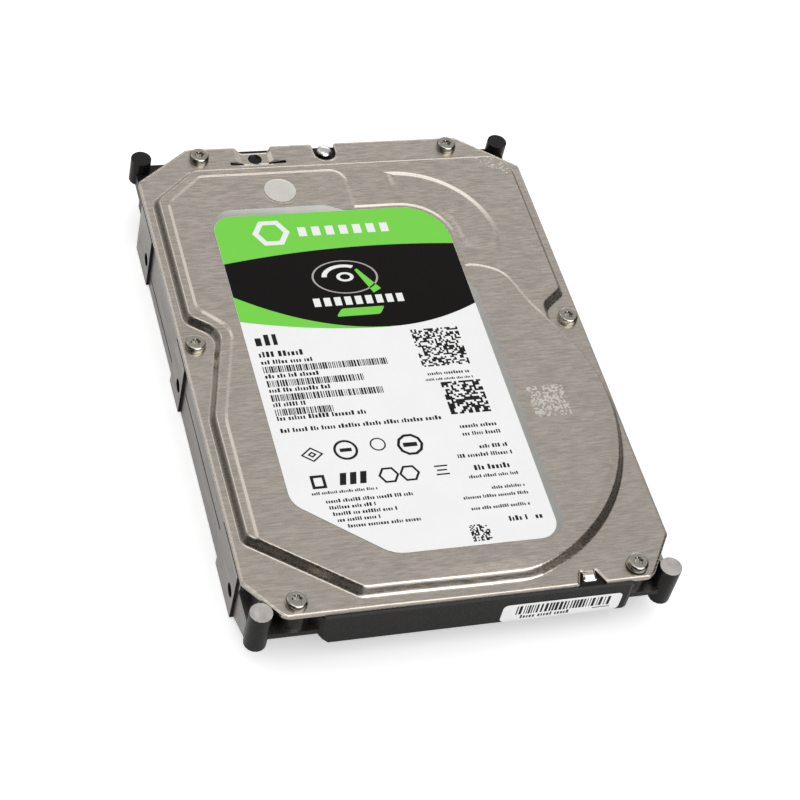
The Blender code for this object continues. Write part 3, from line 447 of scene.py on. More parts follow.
def striped_material(name, colour, stripe, pitch, roughness, metallic):
    """A film with stripes that run along it, stacked up in z, such as a flex cable's traces."""
    made = surface(name, colour, 0.0, roughness, 1.0, 0.06, 0.05, 0.002)
    tree = made.node_tree
    _, (_, _, z) = object_place(tree)
    wave = calc(tree, "SINE", calc(tree, "MULTIPLY", z, 2 * math.pi / pitch))
    lines = calc(tree, "GREATER_THAN", wave, 0.1)
    paint_over(made, lines, stripe, metallic, roughness)
    return made


materials = {
    "cast": casting_material(),
    "cover": cover_material(),
    "screw": surface("screw_steel", (0.40, 0.385, 0.34), 1.0, 0.10, (1.6, 1.6, 4.0), 0.08, 0.05, 0.006),
    "bare_steel": surface("bright_steel", (0.62, 0.61, 0.59), 1.0, 0.24, (0.4, 2.5, 2.5), 0.06, 0.06),
    "lamination": striped_material("stator_laminations", (0.20, 0.19, 0.18), (0.5, 0.49, 0.47), 0.35, 0.35,
                                   1.0),
    "magnet": surface("nickel_magnet", (0.56, 0.55, 0.52), 1.0, 0.2, 0.8, 0.05, 0.06),
    "rotor": surface("rotor_magnet_black", (0.09, 0.09, 0.095), 0.3, 0.42, 2.0, 0.12),
    "aluminium": surface("machined_aluminium", (0.66, 0.66, 0.67), 1.0, 0.28, (0.3, 3.0, 3.0), 0.05, 0.06),
    "hub": turned_material("turned_hub", (0.70, 0.70, 0.71), 0.2, 0.35),
    "platter": turned_material("platter_mirror", (0.84, 0.84, 0.85), 0.035, 0.5, 0.015, 0.0002),
    "plastic": surface("black_plastic", (0.022, 0.022, 0.024), 0.0, 0.38, 2.5, 0.15, 0.1, 0.012),
    "pale_plastic": surface("pale_plastic", (0.72, 0.68, 0.56), 0.0, 0.35, 1.2, 0.05, 0.06, 0.006),
    "rubber": surface("rubber", (0.018, 0.018, 0.019), 0.0, 0.68, 3.0, 0.15, 0.1, 0.015),
    "filter": surface("filter_cloth", (0.78, 0.78, 0.75), 0.0, 0.85, 5.0, 0.1, 0.05, 0.05),
    "foam": surface("board_foam", (0.045, 0.045, 0.05), 0.0, 0.88, 4.0, 0.3, 0.06, 0.08),
    "chip": surface("chip_epoxy", (0.020, 0.020, 0.022), 0.0, 0.5, 6.0, 0.15, 0.08, 0.008),
    "board": board_material(),
    "flex": striped_material("flex_film", (0.34, 0.13, 0.03), (0.62, 0.30, 0.10), 0.6, 0.3, 0.6),
    "coil": turned_material("voice_coil_wire", COPPER, 0.28, 0.22, 0.1, 0.05, PIVOT),
    "winding": turned_material("stator_wire", COPPER, 0.28, 0.22, 0.1, 0.05, SPINDLE),
    "gold": surface("gold_contact", (0.86, 0.60, 0.24), 1.0, 0.22, 1.5, 0.05),
    "tin": surface("tinned_pad", (0.70, 0.70, 0.69), 1.0, 0.3, 2.0, 0.08, 0.1, 0.01),
    "backing": surface("label_backing", (0.40, 0.395, 0.375), 0.65, 0.34, 1.0, 0.03, 0.05, 0.003),
    "seal": surface("port_seal_foil", (0.66, 0.63, 0.59), 0.55, 0.42, 1.4, 0.04, 0.06, 0.004),
    "paper": ink("label_paper", (0.90, 0.90, 0.90)),
    "green": ink("green_ink", (0.19, 0.66, 0.075)),
    "black": ink("black_ink", (0.0055, 0.0045, 0.0042), 0.3),
    "white": ink("white_ink", (0.85, 0.87, 0.84)),
    "grey": ink("grey_ink", (0.42, 0.40, 0.39)),
    "text": ink("text_ink", (0.016, 0.015, 0.015)),
}


# ---- pieces
def linked(name, data):
    """A new object in the scene."""
    made = bpy.data.objects.new(name, data)
    bpy.context.scene.collection.objects.link(made)
    return made


def piece_from(name, mesh, material, body="base", slot=None, replaces=()):
    mesh.name = name
    piece = linked(name, mesh)
    mesh.materials.clear()
    mesh.materials.append(materials[material])
    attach(piece, body)
    if replaces:
        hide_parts(*replaces)
    return piece


def mesh_from(shape, smooth):
    mesh = bpy.data.meshes.new("piece")
    shape.to_mesh(mesh)
    shape.free()
    if smooth:
        mesh.shade_smooth()
        mesh.set_sharp_from_angle(angle=math.radians(smooth))
    return mesh


def flat_mesh(rings, low, high, edge=0.0):
    """A flat piece from an outline and its holes, with an optional rounded edge."""
    curve = bpy.data.curves.new("outline", "CURVE")
    curve.dimensions = "2D"
    curve.fill_mode = "BOTH"
    curve.extrude = ((high - low) / 2 - edge) * MM
    curve.bevel_depth = edge * MM
    curve.bevel_resolution = 1
    curve.offset = -edge * MM
    for ring in rings:
        spline = curve.splines.new("POLY")
        spline.points.add(len(ring) - 1)
        for point, (x, y) in zip(spline.points, ring):
            point.co = (x * MM, y * MM, 0.0, 1.0)
        spline.use_cyclic_u = True
    source = linked("outline", curve)
    bpy.context.view_layer.update()
    evaluated = source.evaluated_get(bpy.context.evaluated_depsgraph_get())
    found = bpy.data.meshes.new_from_object(evaluated)
    bpy.data.objects.remove(source, do_unlink=True)
    shape = bmesh.new()
    shape.from_mesh(found)
    bpy.data.meshes.remove(found)
    bmesh.ops.remove_doubles(shape, verts=shape.verts, dist=1e-7)
    bmesh.ops.recalc_face_normals(shape, faces=shape.faces)
    bmesh.ops.translate(shape, vec=(0.0, 0.0, (low + high) / 2 * MM), verts=shape.verts)
    return mesh_from(shape, 35.0)


def blocks_mesh(blocks, place=None):
    """Many small blocks in one mesh, each (x0, y0, z0, x1, y1, z1); place may move every corner."""
    corners = []
    faces = []
    for x0, y0, z0, x1, y1, z1 in blocks:
        first = len(corners)
        corners += [(x, y, z) for z in (z0, z1) for x, y in ((x0, y0), (x1, y0), (x1, y1), (x0, y1))]
        sides = [(n, (n + 1) % 4, (n + 1) % 4 + 4, n + 4) for n in range(4)]
        faces += [tuple(first + n for n in face) for face in [(3, 2, 1, 0), (4, 5, 6, 7), *sides]]
    if place:
        corners = [place(*corner) for corner in corners]
    mesh = bpy.data.meshes.new("piece")
    mesh.from_pydata([tuple(c * MM for c in corner) for corner in corners], [], faces)
    mesh.update()
    return mesh


def lathe(rings, place, sides):
    """A turned piece from (radius, level) rings, top first; a third number is the depth of six lobes."""
    shape = bmesh.new()
    loops = []
    for radius, level, *depth in rings:
        if radius == 0:
            loops.append([shape.verts.new((place[0] * MM, place[1] * MM, level * MM))])
            continue
        loop = []
        for index in range(sides):
            turn = 2 * math.pi * index / sides
            reach = radius + (depth[0] * math.cos(6 * turn) if depth else 0.0)
            loop.append(shape.verts.new(((place[0] + reach * math.cos(turn)) * MM,
                                         (place[1] + reach * math.sin(turn)) * MM, level * MM)))
        loops.append(loop)
    for first, second in zip(loops, loops[1:]):
        for index in range(sides):
            after = (index + 1) % sides
            if len(first) == 1:
                shape.faces.new((first[0], second[index], second[after]))
            elif len(second) == 1:
                shape.faces.new((first[after], first[index], second[0]))
            else:
                shape.faces.new((first[index], second[index], second[after], first[after]))
    bmesh.ops.recalc_face_normals(shape, faces=shape.faces)
    return mesh_from(shape, 32.0)


# ---- the stamped cover
def inside(at, outline):
    """Distance from each point to a closed outline, positive inside it."""
    nearest = np.full(len(at), 1e9)
    within_it = np.zeros(len(at), bool)
    x, y = at[:, 0], at[:, 1]
    for (ax, ay), (bx, by) in zip(outline, outline[1:] + outline[:1]):
        dx, dy = bx - ax, by - ay
        length = dx * dx + dy * dy
        if length < 1e-12:
            continue
        share = np.clip(((x - ax) * dx + (y - ay) * dy) / length, 0.0, 1.0)
        nearest = np.minimum(nearest, np.hypot(x - ax - share * dx, y - ay - share * dy))
        if dy:
            within_it ^= ((ay > y) != (by > y)) & (x < dx * (y - ay) / dy + ax)
    return np.where(within_it, nearest, -nearest)


def rise(distance, width, fillet):
    """0 to 1 across width: straight in the middle, eased over a fillet at each end."""
    t = np.clip(distance, 0.0, width)
    total = width - fillet
    low = t * t / (2 * fillet)
    middle = t - fillet / 2
    high = total - (width - t) ** 2 / (2 * fillet)
    return np.where(t < fillet, low, np.where(t < width - fillet, middle, high)) / total


def polar(at, centre):
    """Direction in degrees and distance of each point from a centre."""
    x, y = (at - centre).T
    return np.degrees(np.arctan2(y, x)), np.hypot(x, y)


class Cover:
    """The sheet's upper surface as a height over the plan, with walls, steps, dishes and the tray."""
    edge = flange_outline()
    foot = foot_outline()
    plateau = plateau_outline()
    pad = offset(label_outline(), -2.3)
    bump = arc(BUMP, BUMP_OUTER, -22.0, 93.0, 4.0) + arc(BUMP, BUMP_INNER, 93.0, -22.0, 6.0)

    @classmethod
    def height(cls, at):
        x, y = at.T
        foot = inside(at, cls.foot)
        level = FLANGE + (SHOULDER - FLANGE) * rise(foot, *WALL_STEP)
        step = np.maximum(rise(inside(at, cls.plateau), *PLATEAU_STEP), rise(inside(at, cls.pad), *PAD_STEP))
        level += (ROOF - SHOULDER) * step
        level += cls.disk_shelf(at, foot) + cls.coil_bump(at)
        level -= EDGE_DROP * (1.0 - rise(inside(at, cls.edge), *EDGE_HEM))
        tray = rise(x - TRAY[0], 1.9, 0.7) * rise(TRAY[1] - x, 1.9, 0.7) * rise(y - TRAY[2], 1.4, 0.5)
        on_tab = rise(x - TAB[0], 0.1, 0.04) * rise(TAB[1] - x, 0.1, 0.04)
        tab = on_tab * (1.05 * rise(-70.1 - y, 2.5, 0.8) - 0.5 * rise(-69.3 - y, 0.7, 0.3))
        seat = rise(1.1 - polar(at, PORT)[1] + 3.6, 0.5, 0.2)
        return level - TRAY_DEPTH * tray - tab - 0.05 * seat

    @staticmethod
    def disk_shelf(at, foot):
        """A wide shallow slope inside the wall on the disk's side."""
        turn, _ = polar(at, DISK_WALL)
        share = np.clip((turn + 112.0) / 22.0, 0.0, 1.0) * np.clip((8.0 - turn) / 22.0, 0.0, 1.0)
        return -0.36 * share * (1.0 - rise(foot - 1.6, 3.0, 0.9))

    @classmethod
    def coil_bump(cls, at):
        """The raised sector over the coil motor; its inner edge fades out behind the label."""
        turn, away = polar(at, BUMP)
        low_end = np.clip((turn + 22.0) / 20.0, 0.0, 1.0)
        soft = np.clip((turn - 30.0) / 18.0, 0.0, 1.0)
        slope = np.clip((away - BUMP_INNER) / 8.5, 0.0, 1.0)
        fade = (3 - 2 * low_end) * low_end ** 2 * (1 - soft * (1 - (3 - 2 * slope) * slope ** 2))
        return BUMP_RISE * fade * rise(inside(at, cls.bump), *BUMP_STEP)

    @classmethod
    def slopes(cls, at):
        """The surface's unit normals."""
        near = 0.03
        ways = np.eye(2) * near
        across, along = ((cls.height(at + way) - cls.height(at - way)) / (2 * near) for way in ways)
        normals = np.stack([-across, -along, np.ones(len(at))], 1)
        return normals / np.linalg.norm(normals, axis=1, keepdims=True)


def cover_points(loops):
    """Plan points of the sheet: dense where its height bends, sparse where it is flat."""
    fine, coarse = 0.36, 7
    xs = np.arange(COVER_LOW.x, COVER_HIGH.x + fine, fine)
    ys = np.arange(-73.0, 73.0, fine)
    grid_x, grid_y = np.meshgrid(xs, ys)
    at = np.stack([grid_x.ravel(), grid_y.ravel()], 1)
    level = Cover.height(at).reshape(grid_x.shape)
    bend = np.zeros_like(level)
    bend[1:-1] = np.abs(level[2:] - 2 * level[1:-1] + level[:-2])
    bend[:, 1:-1] = np.maximum(bend[:, 1:-1], np.abs(level[:, 2:] - 2 * level[:, 1:-1] + level[:, :-2]))
    keep = bend > 0.0016
    for _ in range(2):
        keep[1:-1, 1:-1] |= keep[2:, 1:-1] | keep[:-2, 1:-1] | keep[1:-1, 2:] | keep[1:-1, :-2]
    keep[::coarse, ::coarse] = True
    at = at[keep.ravel()]
    clear = np.ones(len(at), bool)
    for index, loop in enumerate(loops):
        away = inside(at, loop)
        clear &= (away if index == 0 else -away) > 0.14
    return at[clear]


def cover_mesh():
    """The sheet as a closed solid, its normals taken from the height's own slope."""
    holes = [circle(screw, 1.7, 28) for screw in SCREWS] + [circle(PORT, 0.8, 16), circle(TRAY_HOLE, 1.8, 32)]
    holes += [rectangle((low, SLOT_Y[0]), (high, SLOT_Y[1]), 0.15) for low, high in SLOTS]
    loops = [subdivided(Cover.edge, 0.7)] + holes
    points = []
    edges = []
    for loop in loops:
        first = len(points)
        points += loop
        edges += [(first + n, first + (n + 1) % len(loop)) for n in range(len(loop))]
    points += [tuple(p) for p in cover_points(loops)]
    found = delaunay_2d_cdt([Vector(p) for p in points], edges, [], 0, 1e-6)
    at = np.array([tuple(v) for v in found[0]])
    triangles = np.array([tuple(face) for face in found[2]])
    centres = at[triangles].mean(axis=1)
    keep = inside(centres, loops[0]) > 0
    for loop in loops[1:]:
        keep &= inside(centres, loop) < 0
    triangles = triangles[keep]
    level = Cover.height(at)
    normals = Cover.slopes(at)
    count = len(at)
    upper = np.column_stack([at, level])
    lower = np.column_stack([at, level - SHEET])
    ways = dict.fromkeys(way for a, b, c in triangles.tolist() for way in ((a, b), (b, c), (c, a)))
    rim = [way for way in ways if (way[1], way[0]) not in ways]
    faces = triangles.tolist() + (triangles[:, ::-1] + count).tolist()
    faces += [(b, a, a + count, b + count) for a, b in rim]
    mesh = bpy.data.meshes.new("piece")
    mesh.from_pydata((np.vstack([upper, lower]) * MM).tolist(), [], faces)
    corner_normals = [tuple(normals[n]) for tri in triangles.tolist() for n in tri]
    corner_normals += [tuple(-normals[n]) for tri in triangles[:, ::-1].tolist() for n in tri]
    for a, b in rim:
        way = at[b] - at[a]
        out = np.array([way[1], -way[0], 0.0]) / max(1e-9, math.hypot(way[0], way[1]))
        corner_normals += [tuple(out)] * 4
    mesh.shade_smooth()
    mesh.normals_split_custom_set(corner_normals)
    return mesh


piece_from("cover_sheet", cover_mesh(), "cover", slot="top_cover", replaces=["top_cover"])


# ---- fasteners
SCREW_FINISH = ("screw", "base", "screw_steel")


def torx_screw(index, node):
    """A cylinder head with a rounded shoulder, a six-lobed socket and a plain shank under it."""
    radius, bowl = 2.58, 0.98
    low = FLANGE + 0.02
    top = span(node)[1].z
    shank = 0.42 * radius
    end = min(span(node)[0].z, low - 1.0)
    rings = [(0.0, top - 0.95), (bowl * 0.5, top - 0.95), (bowl * 0.96, top - 0.9, 0.14),
             (bowl, top - 0.2, 0.16), (bowl * 1.12, top - 0.06, 0.15), (bowl * 1.5, top - 0.03, 0.02)]
    for share, drop in ((0.76, 0.0), (0.83, 0.05), (0.89, 0.17), (0.94, 0.38), (0.972, 0.7), (0.99, 1.1)):
        rings.append((radius * share, top - drop))
    rings += [(radius, low + 0.35), (radius * 0.99, low + 0.08), (radius * 0.95, low), (shank, low),
              (shank, end + 0.4), (shank * 0.7, end), (0.0, end)]
    piece_from(f"torx_screw_{index}", lathe(rings, middle(node), 60), *SCREW_FINISH, [node])


def board_screw(index, node):
    """A low-head screw that holds the board from below."""
    bottom, tip = (corner.z for corner in span(node))
    seat, radius = span("circuit_board")[0].z - 0.02, 2.2
    rings = [(0.0, tip), (0.6, tip), (0.9, tip - 0.4), (0.9, seat), (radius, seat), (radius, bottom + 0.3),
             (radius * 0.9, bottom + 0.06), (radius * 0.7, bottom), (0.98, bottom),
             (0.86, bottom + 0.06, 0.15), (0.8, bottom + 0.45, 0.14), (0.4, bottom + 0.48),
             (0.0, bottom + 0.48)]
    piece_from(f"board_fixing_{index}", lathe(rings, middle(node), 48), *SCREW_FINISH, [node])


for index, node in enumerate(SCREW_NODES, 1):
    torx_screw(index, node)
for index, node in enumerate(BOARD_SCREW_NODES, 1):
    board_screw(index, node)


# ---- casting
def casting_mesh():
    """The casting with its coplanar facets joined, so that its edges can be broken evenly."""
    shape = bmesh.new()
    shape.from_mesh(nodes["base_casting"].data)
    bmesh.ops.remove_doubles(shape, verts=shape.verts, dist=2e-6)
    bmesh.ops.dissolve_limit(shape, angle_limit=math.radians(1.0), verts=shape.verts, edges=shape.edges)
    mesh = mesh_from(shape, 30.0)
    if "custom_normal" in mesh.attributes:
        mesh.attributes.remove(mesh.attributes["custom_normal"])
    return mesh


casting = piece_from("casting_body", casting_mesh(), "cast", slot="base_casting", replaces=["base_casting"])
edges = casting.modifiers.new("edges", "BEVEL")
edges.width = 0.22 * MM
edges.segments = 2
edges.limit_method = "ANGLE"
edges.angle_limit = math.radians(38.0)
flats = casting.modifiers.new("flats", "WEIGHTED_NORMAL")
flats.weight = 100
flats.keep_sharp = True


# ---- label
BACK = ROOF + 0.02  # levels of the label's layers
PAPER = BACK + 0.05
PRINT = PAPER + 0.07
OVERPRINT = PRINT + 0.03
INK = 0.02  # thickness of the ink
EMBLEM = (-6.8, 22.4)
chance = random.Random(11)


def printed(name, rings, level, colour):
    piece_from(name, flat_mesh(rings, level, level + INK), colour, slot="top_label")


def lens_top(x):
    """Upper edge of the label's dark band at x."""
    return 32.4 - 0.0022 * (x - 3.0) ** 2


def lens_bottom(x):
    return 5.4 + 0.0094 * (x - 1.0) ** 2 * (1.0 if x < 1.0 else 1.15)


def crescent_bottom(x):
    return 5.3 + 0.0036 * (x - 1.0) ** 2


def along(first, last, count, edge):
    return [(x, edge(x)) for x in np.linspace(first, last, count)]


def label_parts():
    """Backing, paper, green band, dark band and the green crescent under it."""
    backing = flat_mesh([backing_outline()], BACK, PAPER - 0.005, 0.015)
    piece_from("label_backing", backing, "backing", slot="top_label", replaces=["top_label"])
    paper = flat_mesh([label_outline()], PAPER, PRINT - 0.005, 0.02)
    piece_from("label_paper", paper, "paper", slot="top_label")
    left, right = LEFT + 0.05, RIGHT - 0.05
    corner = arc((12.9, 34.0), 10.95, 90.0, 0.0, 8.0)
    green = along(left, right, 24, lens_top) + [p for p in reversed(corner) if p[1] > 33.0]
    green += arc((LEFT + 5.0, REAR - 5.0), 4.95, 90.0, 180.0, 12.0)
    printed("label_green_band", [green], PRINT, "green")
    lens = along(left, right, 40, lens_bottom) + along(right, left, 24, lens_top)
    printed("label_dark_band", [lens], PRINT, "black")
    crescent = along(left, 1.0, 20, crescent_bottom) + along(1.0, left, 24, lens_bottom)[1:]
    printed("label_green_crescent", [crescent], PRINT, "green")


def flattened(points, middle_y, squash):
    return [(x, middle_y + (y - middle_y) * squash) for x, y in points]


def ring(centre, outer, inner, sides=36, squash=1.0):
    """Outline and hole of a ring, optionally an oval."""
    return [flattened(circle(centre, radius, sides), centre[1], squash) for radius in (outer, inner)]


def bar(low, high, slant=0.0):
    (x0, y0), (x1, y1) = low, high
    return [(x0, y0), (x1, y0), (x1 + slant, y1), (x0 + slant, y1)]


def emblem():
    """A plain mark of a disk with an arm over it, and blank bars where the words would be."""
    track = arc(EMBLEM, 5.9, 60.0, 175.0, 6.0) + arc(EMBLEM, 4.6, 175.0, 60.0, 6.0)
    words = [bar((-16.6 + 2.63 * n, 13.2), (-14.9 + 2.63 * n, 15.9)) for n in range(9)]
    blanks = [bar((-15.0 + 3.55 * n, 36.9), (-12.9 + 3.55 * n, 40.0)) for n in range(7)]
    pill = rounded(((-12.0, 9.6, 0.3), (-0.9, 9.6, 1.4), (0.7, 12.1, 0.3), (-10.2, 12.1, 1.4)))
    table = {
        "emblem_ring": (ring(EMBLEM, 8.4, 7.9, 56, 0.66), "grey"),
        "emblem_hub": (ring(EMBLEM, 2.2, 1.3, 28, 0.7), "white"),
        "emblem_arm": ([[(-0.9, 16.6), (1.3, 17.9), (-3.2, 24.9), (-3.9, 24.5)]], "green"),
        "emblem_track": ([flattened(track, EMBLEM[1], 0.7)], "white"),
        "emblem_blanks": (words, "white"),
        "emblem_pill": ([pill], "green"),
        "band_mark": (ring((-21.9, 38.6), 4.8, 3.2, 6), "white"),
        "band_blanks": (blanks, "white"),
    }
    for name, (rings, colour) in table.items():
        printed(name, rings, OVERPRINT, colour)


def dashes(x, y, width, height, space=0.42):
    """A line of blank marks in word-like groups, standing for a line of print."""
    marks = []
    end = x + width
    while x < end:
        for _ in range(chance.randint(3, 8)):
            wide = height * chance.uniform(0.26, 0.46)
            tall = height * chance.choice((0.72, 0.72, 1.0))
            if x + wide > end:
                break
            marks.append((x, y, PRINT, x + wide, y + tall, PRINT + INK))
            x += wide + height * 0.24
        x += height * space
    return marks


def bars(x, y, width, height, scale=1.0):
    """Upright bars of random widths."""
    marks = []
    end = x + width
    while x < end:
        wide = scale * chance.choice((0.14, 0.2, 0.32, 0.45))
        marks.append((x, y, PRINT, x + wide, y + height, PRINT + INK))
        x += wide + scale * chance.choice((0.16, 0.24, 0.36))
    return marks


def cells(x, y, size, count):
    """A square patch of random cells."""
    pitch = size / count
    marks = []
    for row in range(count):
        for column in range(count):
            if chance.random() < 0.5:
                low_x, low_y = x + column * pitch, y + row * pitch
                marks.append((low_x, low_y, PRINT, low_x + pitch * 0.98, low_y + pitch * 0.98, PRINT + INK))
    return marks


def fine_print():
    """Blank lines, bars and cell patches where the label's small print would be."""
    marks = dashes(-33.6, 2.2, 6.4, 3.4, 0.3) + dashes(-33.6, -1.4, 11.0, 1.7)
    y = -3.6
    for words, strip in ((12.5, 30.5), (13.5, 23.5), (15.0, 27.0), (8.0, 14.0)):
        marks += dashes(-33.6, y, words, 1.25)
        marks += bars(-33.6, y - 2.7, strip, 2.0)
        y -= 4.35
    marks += dashes(-33.6, y + 0.2, 22.0, 1.3) + dashes(-33.6, y - 3.4, 39.5, 1.25)
    marks += cells(5.0, -8.2, 12.0, 25) + cells(8.0, -23.3, 10.0, 18) + cells(3.0, -60.0, 4.6, 12)
    marks += dashes(5.6, -10.9, 10.5, 0.95) + dashes(4.6, -12.6, 12.0, 0.7)
    for x, y, width, height in ((9.0, -27.6, 9.5, 1.1), (9.0, -29.9, 9.5, 1.1), (12.0, -34.0, 7.0, 1.1),
                                (6.0, -36.3, 13.6, 1.1), (9.0, -40.2, 8.6, 1.5), (7.0, -42.4, 12.4, 0.9),
                                (11.5, -46.0, 8.2, 0.9), (4.0, -48.2, 16.4, 0.9), (5.0, -51.4, 14.2, 0.9),
                                (13.0, -55.4, 4.6, 1.4), (19.4, -55.4, 2.3, 1.4)):
        marks += dashes(x, y, width, height)
    rows = ((-27.9, 21.0), (-27.5, 11.0), (-27.1, 15.0), (-26.5, 10.5), (-24.5, 17.6))
    for row, (x, width) in enumerate(rows):
        marks += dashes(x, -45.5 - 1.8 * row, width, 1.0)
    marks += dashes(-30.6, -42.9, 15.5, 0.8)
    piece_from("label_fine_print", blocks_mesh(marks), "text", slot="top_label")


def symbols():
    """Two rows of plain shapes: rings, polygons, bars and strokes."""
    table = {
        "diamond": ring((-27.9, -31.4), 2.7, 2.1, 4, 0.8) + ring((-27.9, -31.4), 1.1, 0.5, 4, 0.8),
        "ring_a": ring((-19.8, -30.9), 2.9, 2.3),
        "bar_a": [bar((-21.2, -31.4), (-18.4, -30.4))],
        "ring_b": ring((-11.9, -30.1), 1.9, 1.55),
        "ring_c": ring((-4.3, -31.0), 3.2, 2.5, 10),
        "bar_c": [bar((-6.0, -31.6), (-2.6, -30.4))],
        "square": [rectangle((-30.0, -41.2), (-26.6, -37.4)), rectangle((-29.3, -40.5), (-27.3, -38.1))],
        "slants": [bar((-23.6 + 2.4 * n, -40.8), (-22.1 + 2.4 * n, -37.4), 0.8) for n in range(3)],
        "hexagon_0": ring((-11.6, -39.2), 2.5, 1.9, 6),
        "hexagon_1": ring((-6.6, -39.2), 2.5, 1.9, 6),
        "lines": [bar((-0.4, -40.6), (2.8, -40.2)), bar((0.0, -39.4), (2.4, -39.0)),
                  bar((-0.4, -38.2), (2.8, -37.8))],
    }
    for name, rings in table.items():
        printed(f"symbol_{name}", rings, PRINT, "text")


def front_label():
    """A paper strip on the chin with generic bars."""
    low, high = span("front_label")
    face = low.y

    paper = flat_mesh([rectangle((low.x, low.z), (high.x, high.z), 1.3)], -0.14, -0.04, 0.02)
    paper.transform(Matrix(((1, 0, 0, 0), (0, 0, -1, face * MM), (0, 1, 0, 0), (0, 0, 0, 1))))
    piece_from("front_paper", paper, "paper", slot="front_label", replaces=["front_label"])
    strip = bars(low.x + 3.4, low.z + 2.35, 22.4, 3.2, 1.5) + dashes(low.x + 4.8, low.z + 0.75, 12.0, 1.25)
    strip.append((high.x - 6.6, low.z + 1.5, PRINT, high.x - 2.4, low.z + 1.75, PRINT))
    marks = [(x0, y0, -0.035, x1, y1, -0.02) for x0, y0, _, x1, y1, _ in strip]
    upright = blocks_mesh(marks, lambda x, y, z: (x, face - z, y))
    piece_from("front_print", upright, "text", slot="front_label")


label_parts()
emblem()
fine_print()
symbols()
front_label()


# ---- small fittings
def locator_cap():
    """The polished, domed end of the casting's locating pin."""
    low, top = 16.9, 17.75
    rings = [(0.0, top), (0.8, top - 0.06), (1.4, top - 0.22), (1.78, top - 0.45), (1.95, top - 0.7),
             (1.95, low), (0.0, low)]
    piece_from("locator_cap", lathe(rings, LOCATOR, 40), "bare_steel", slot="machined_aluminium")


def port_seal():
    """A foil disk with a rounded rim."""
    low, top = ROOF + 0.02, ROOF + 0.13
    rings = [(0.0, top), (3.2, top), (3.95, top - 0.01), (4.08, top - 0.05), (4.1, low), (0.0, low)]
    piece_from("port_seal_foil", lathe(rings, PORT, 64), "seal", slot="port_seal", replaces=["port_seal"])


def disk_stack():
    """Platter and clamp as finely turned pieces on the spindle."""
    low, high = (corner.z for corner in span("platter"))
    outer, bore = span("platter")[1].x - SPINDLE[0], 12.5
    rings = [(bore, high - 0.12), (bore + 0.12, high), (outer - 0.15, high), (outer, high - 0.15)]
    rings += [(outer, low + 0.15), (outer - 0.15, low), (bore + 0.12, low), (bore, low + 0.12), rings[0]]
    disk = lathe(rings, SPINDLE, 160)
    piece_from("platter_disk", disk, "platter", "spindle", "platter", ["platter"])
    top = span("disk_clamp")[1].z
    rings = [(1.4, top - 0.1), (1.5, top), (6.0, top), (6.4, top - 0.15), (12.2, top - 0.15), (12.6, top),
             (15.2, top), (15.7, top - 0.2), (15.8, top - 0.5), (15.8, high + 0.06), (13.6, high + 0.06),
             (13.6, top - 0.65), (1.4, top - 0.65), (1.4, top - 0.1)]
    clamp = lathe(rings, SPINDLE, 96)
    piece_from("clamp_ring", clamp, "hub", "spindle", "machined_aluminium", ["disk_clamp"])


def sata_contacts():
    """Flat contacts on the connector's two tongues, and its tails on the board."""
    low, high = span("sata_connector")
    pitch, width, face = 1.27, 0.8, 4.6
    marks = []
    for start, count in ((low.x + 5.0, 15), (low.x + 28.4, 7)):
        for n in range(count):
            x = start + 0.45 + pitch * n
            end = high.y - (1.2 if n % 3 else 0.95)
            marks.append((x, low.y + 2.5, face - 0.06, x + width, end, face + 0.02))
    piece_from("sata_contacts", blocks_mesh(marks), "gold")
    starts = [low.x + 1.9 + 1.3 * n for n in range(30)]
    tails = [(x, low.y - 2.2, 0.82, x + 0.6, low.y - 0.4, 0.9) for x in starts]
    piece_from("sata_tails", blocks_mesh(tails), "tin")


locator_cap()
port_seal()
disk_stack()
sata_contacts()


def clear_of(x, y, placed, gap, hole_gap):
    """Whether a spot keeps its distance from the pads placed so far and from the board's screws."""
    return all(math.dist((x, y), (px, py)) > gap + pr for px, py, pr in placed) and all(
        math.dist((x, y), screw) > hole_gap for screw in BOARD_SCREWS)


def board_details():
    """Test pads, vias and the motor's contact strip on the board's outer side."""
    face = span("circuit_board")[0].z
    shape = bmesh.new()
    placed = []
    while len(placed) < 150:
        x, y = chance.uniform(-41.0, 41.0), chance.uniform(12.0, 62.0)
        radius = chance.choice((0.28, 0.28, 0.45, 0.6))
        if clear_of(x, y, placed, radius + 0.5, 4.0):
            placed.append((x, y, radius))
            turn = Matrix.Translation(Vector((x, y, face - 0.02)) * MM) @ Matrix.Rotation(math.pi, 4, "X")
            bmesh.ops.create_cone(shape, cap_ends=True, segments=16, radius1=radius * MM,
                                  radius2=radius * 0.9 * MM, depth=0.05 * MM, matrix=turn)
    piece_from("board_pads", mesh_from(shape, 30.0), "gold", slot="circuit_board")
    lands = [(-4.4 + 2.4 * n, 10.8, face - 0.07, -2.6 + 2.4 * n, 14.2, face) for n in range(4)]
    for _ in range(46):
        x, y = chance.uniform(-38.0, 38.0), chance.uniform(16.0, 60.0)
        half_x, half_y = (0.8, 0.42) if chance.random() < 0.5 else (0.42, 0.8)
        if clear_of(x, y, placed, 1.3, 4.2):
            placed.append((x, y, 1.0))
            lands.append((x - half_x, y - half_y, face - 0.05, x + half_x, y + half_y, face))
    piece_from("board_lands", blocks_mesh(lands), "tin", slot="circuit_board")


board_details()


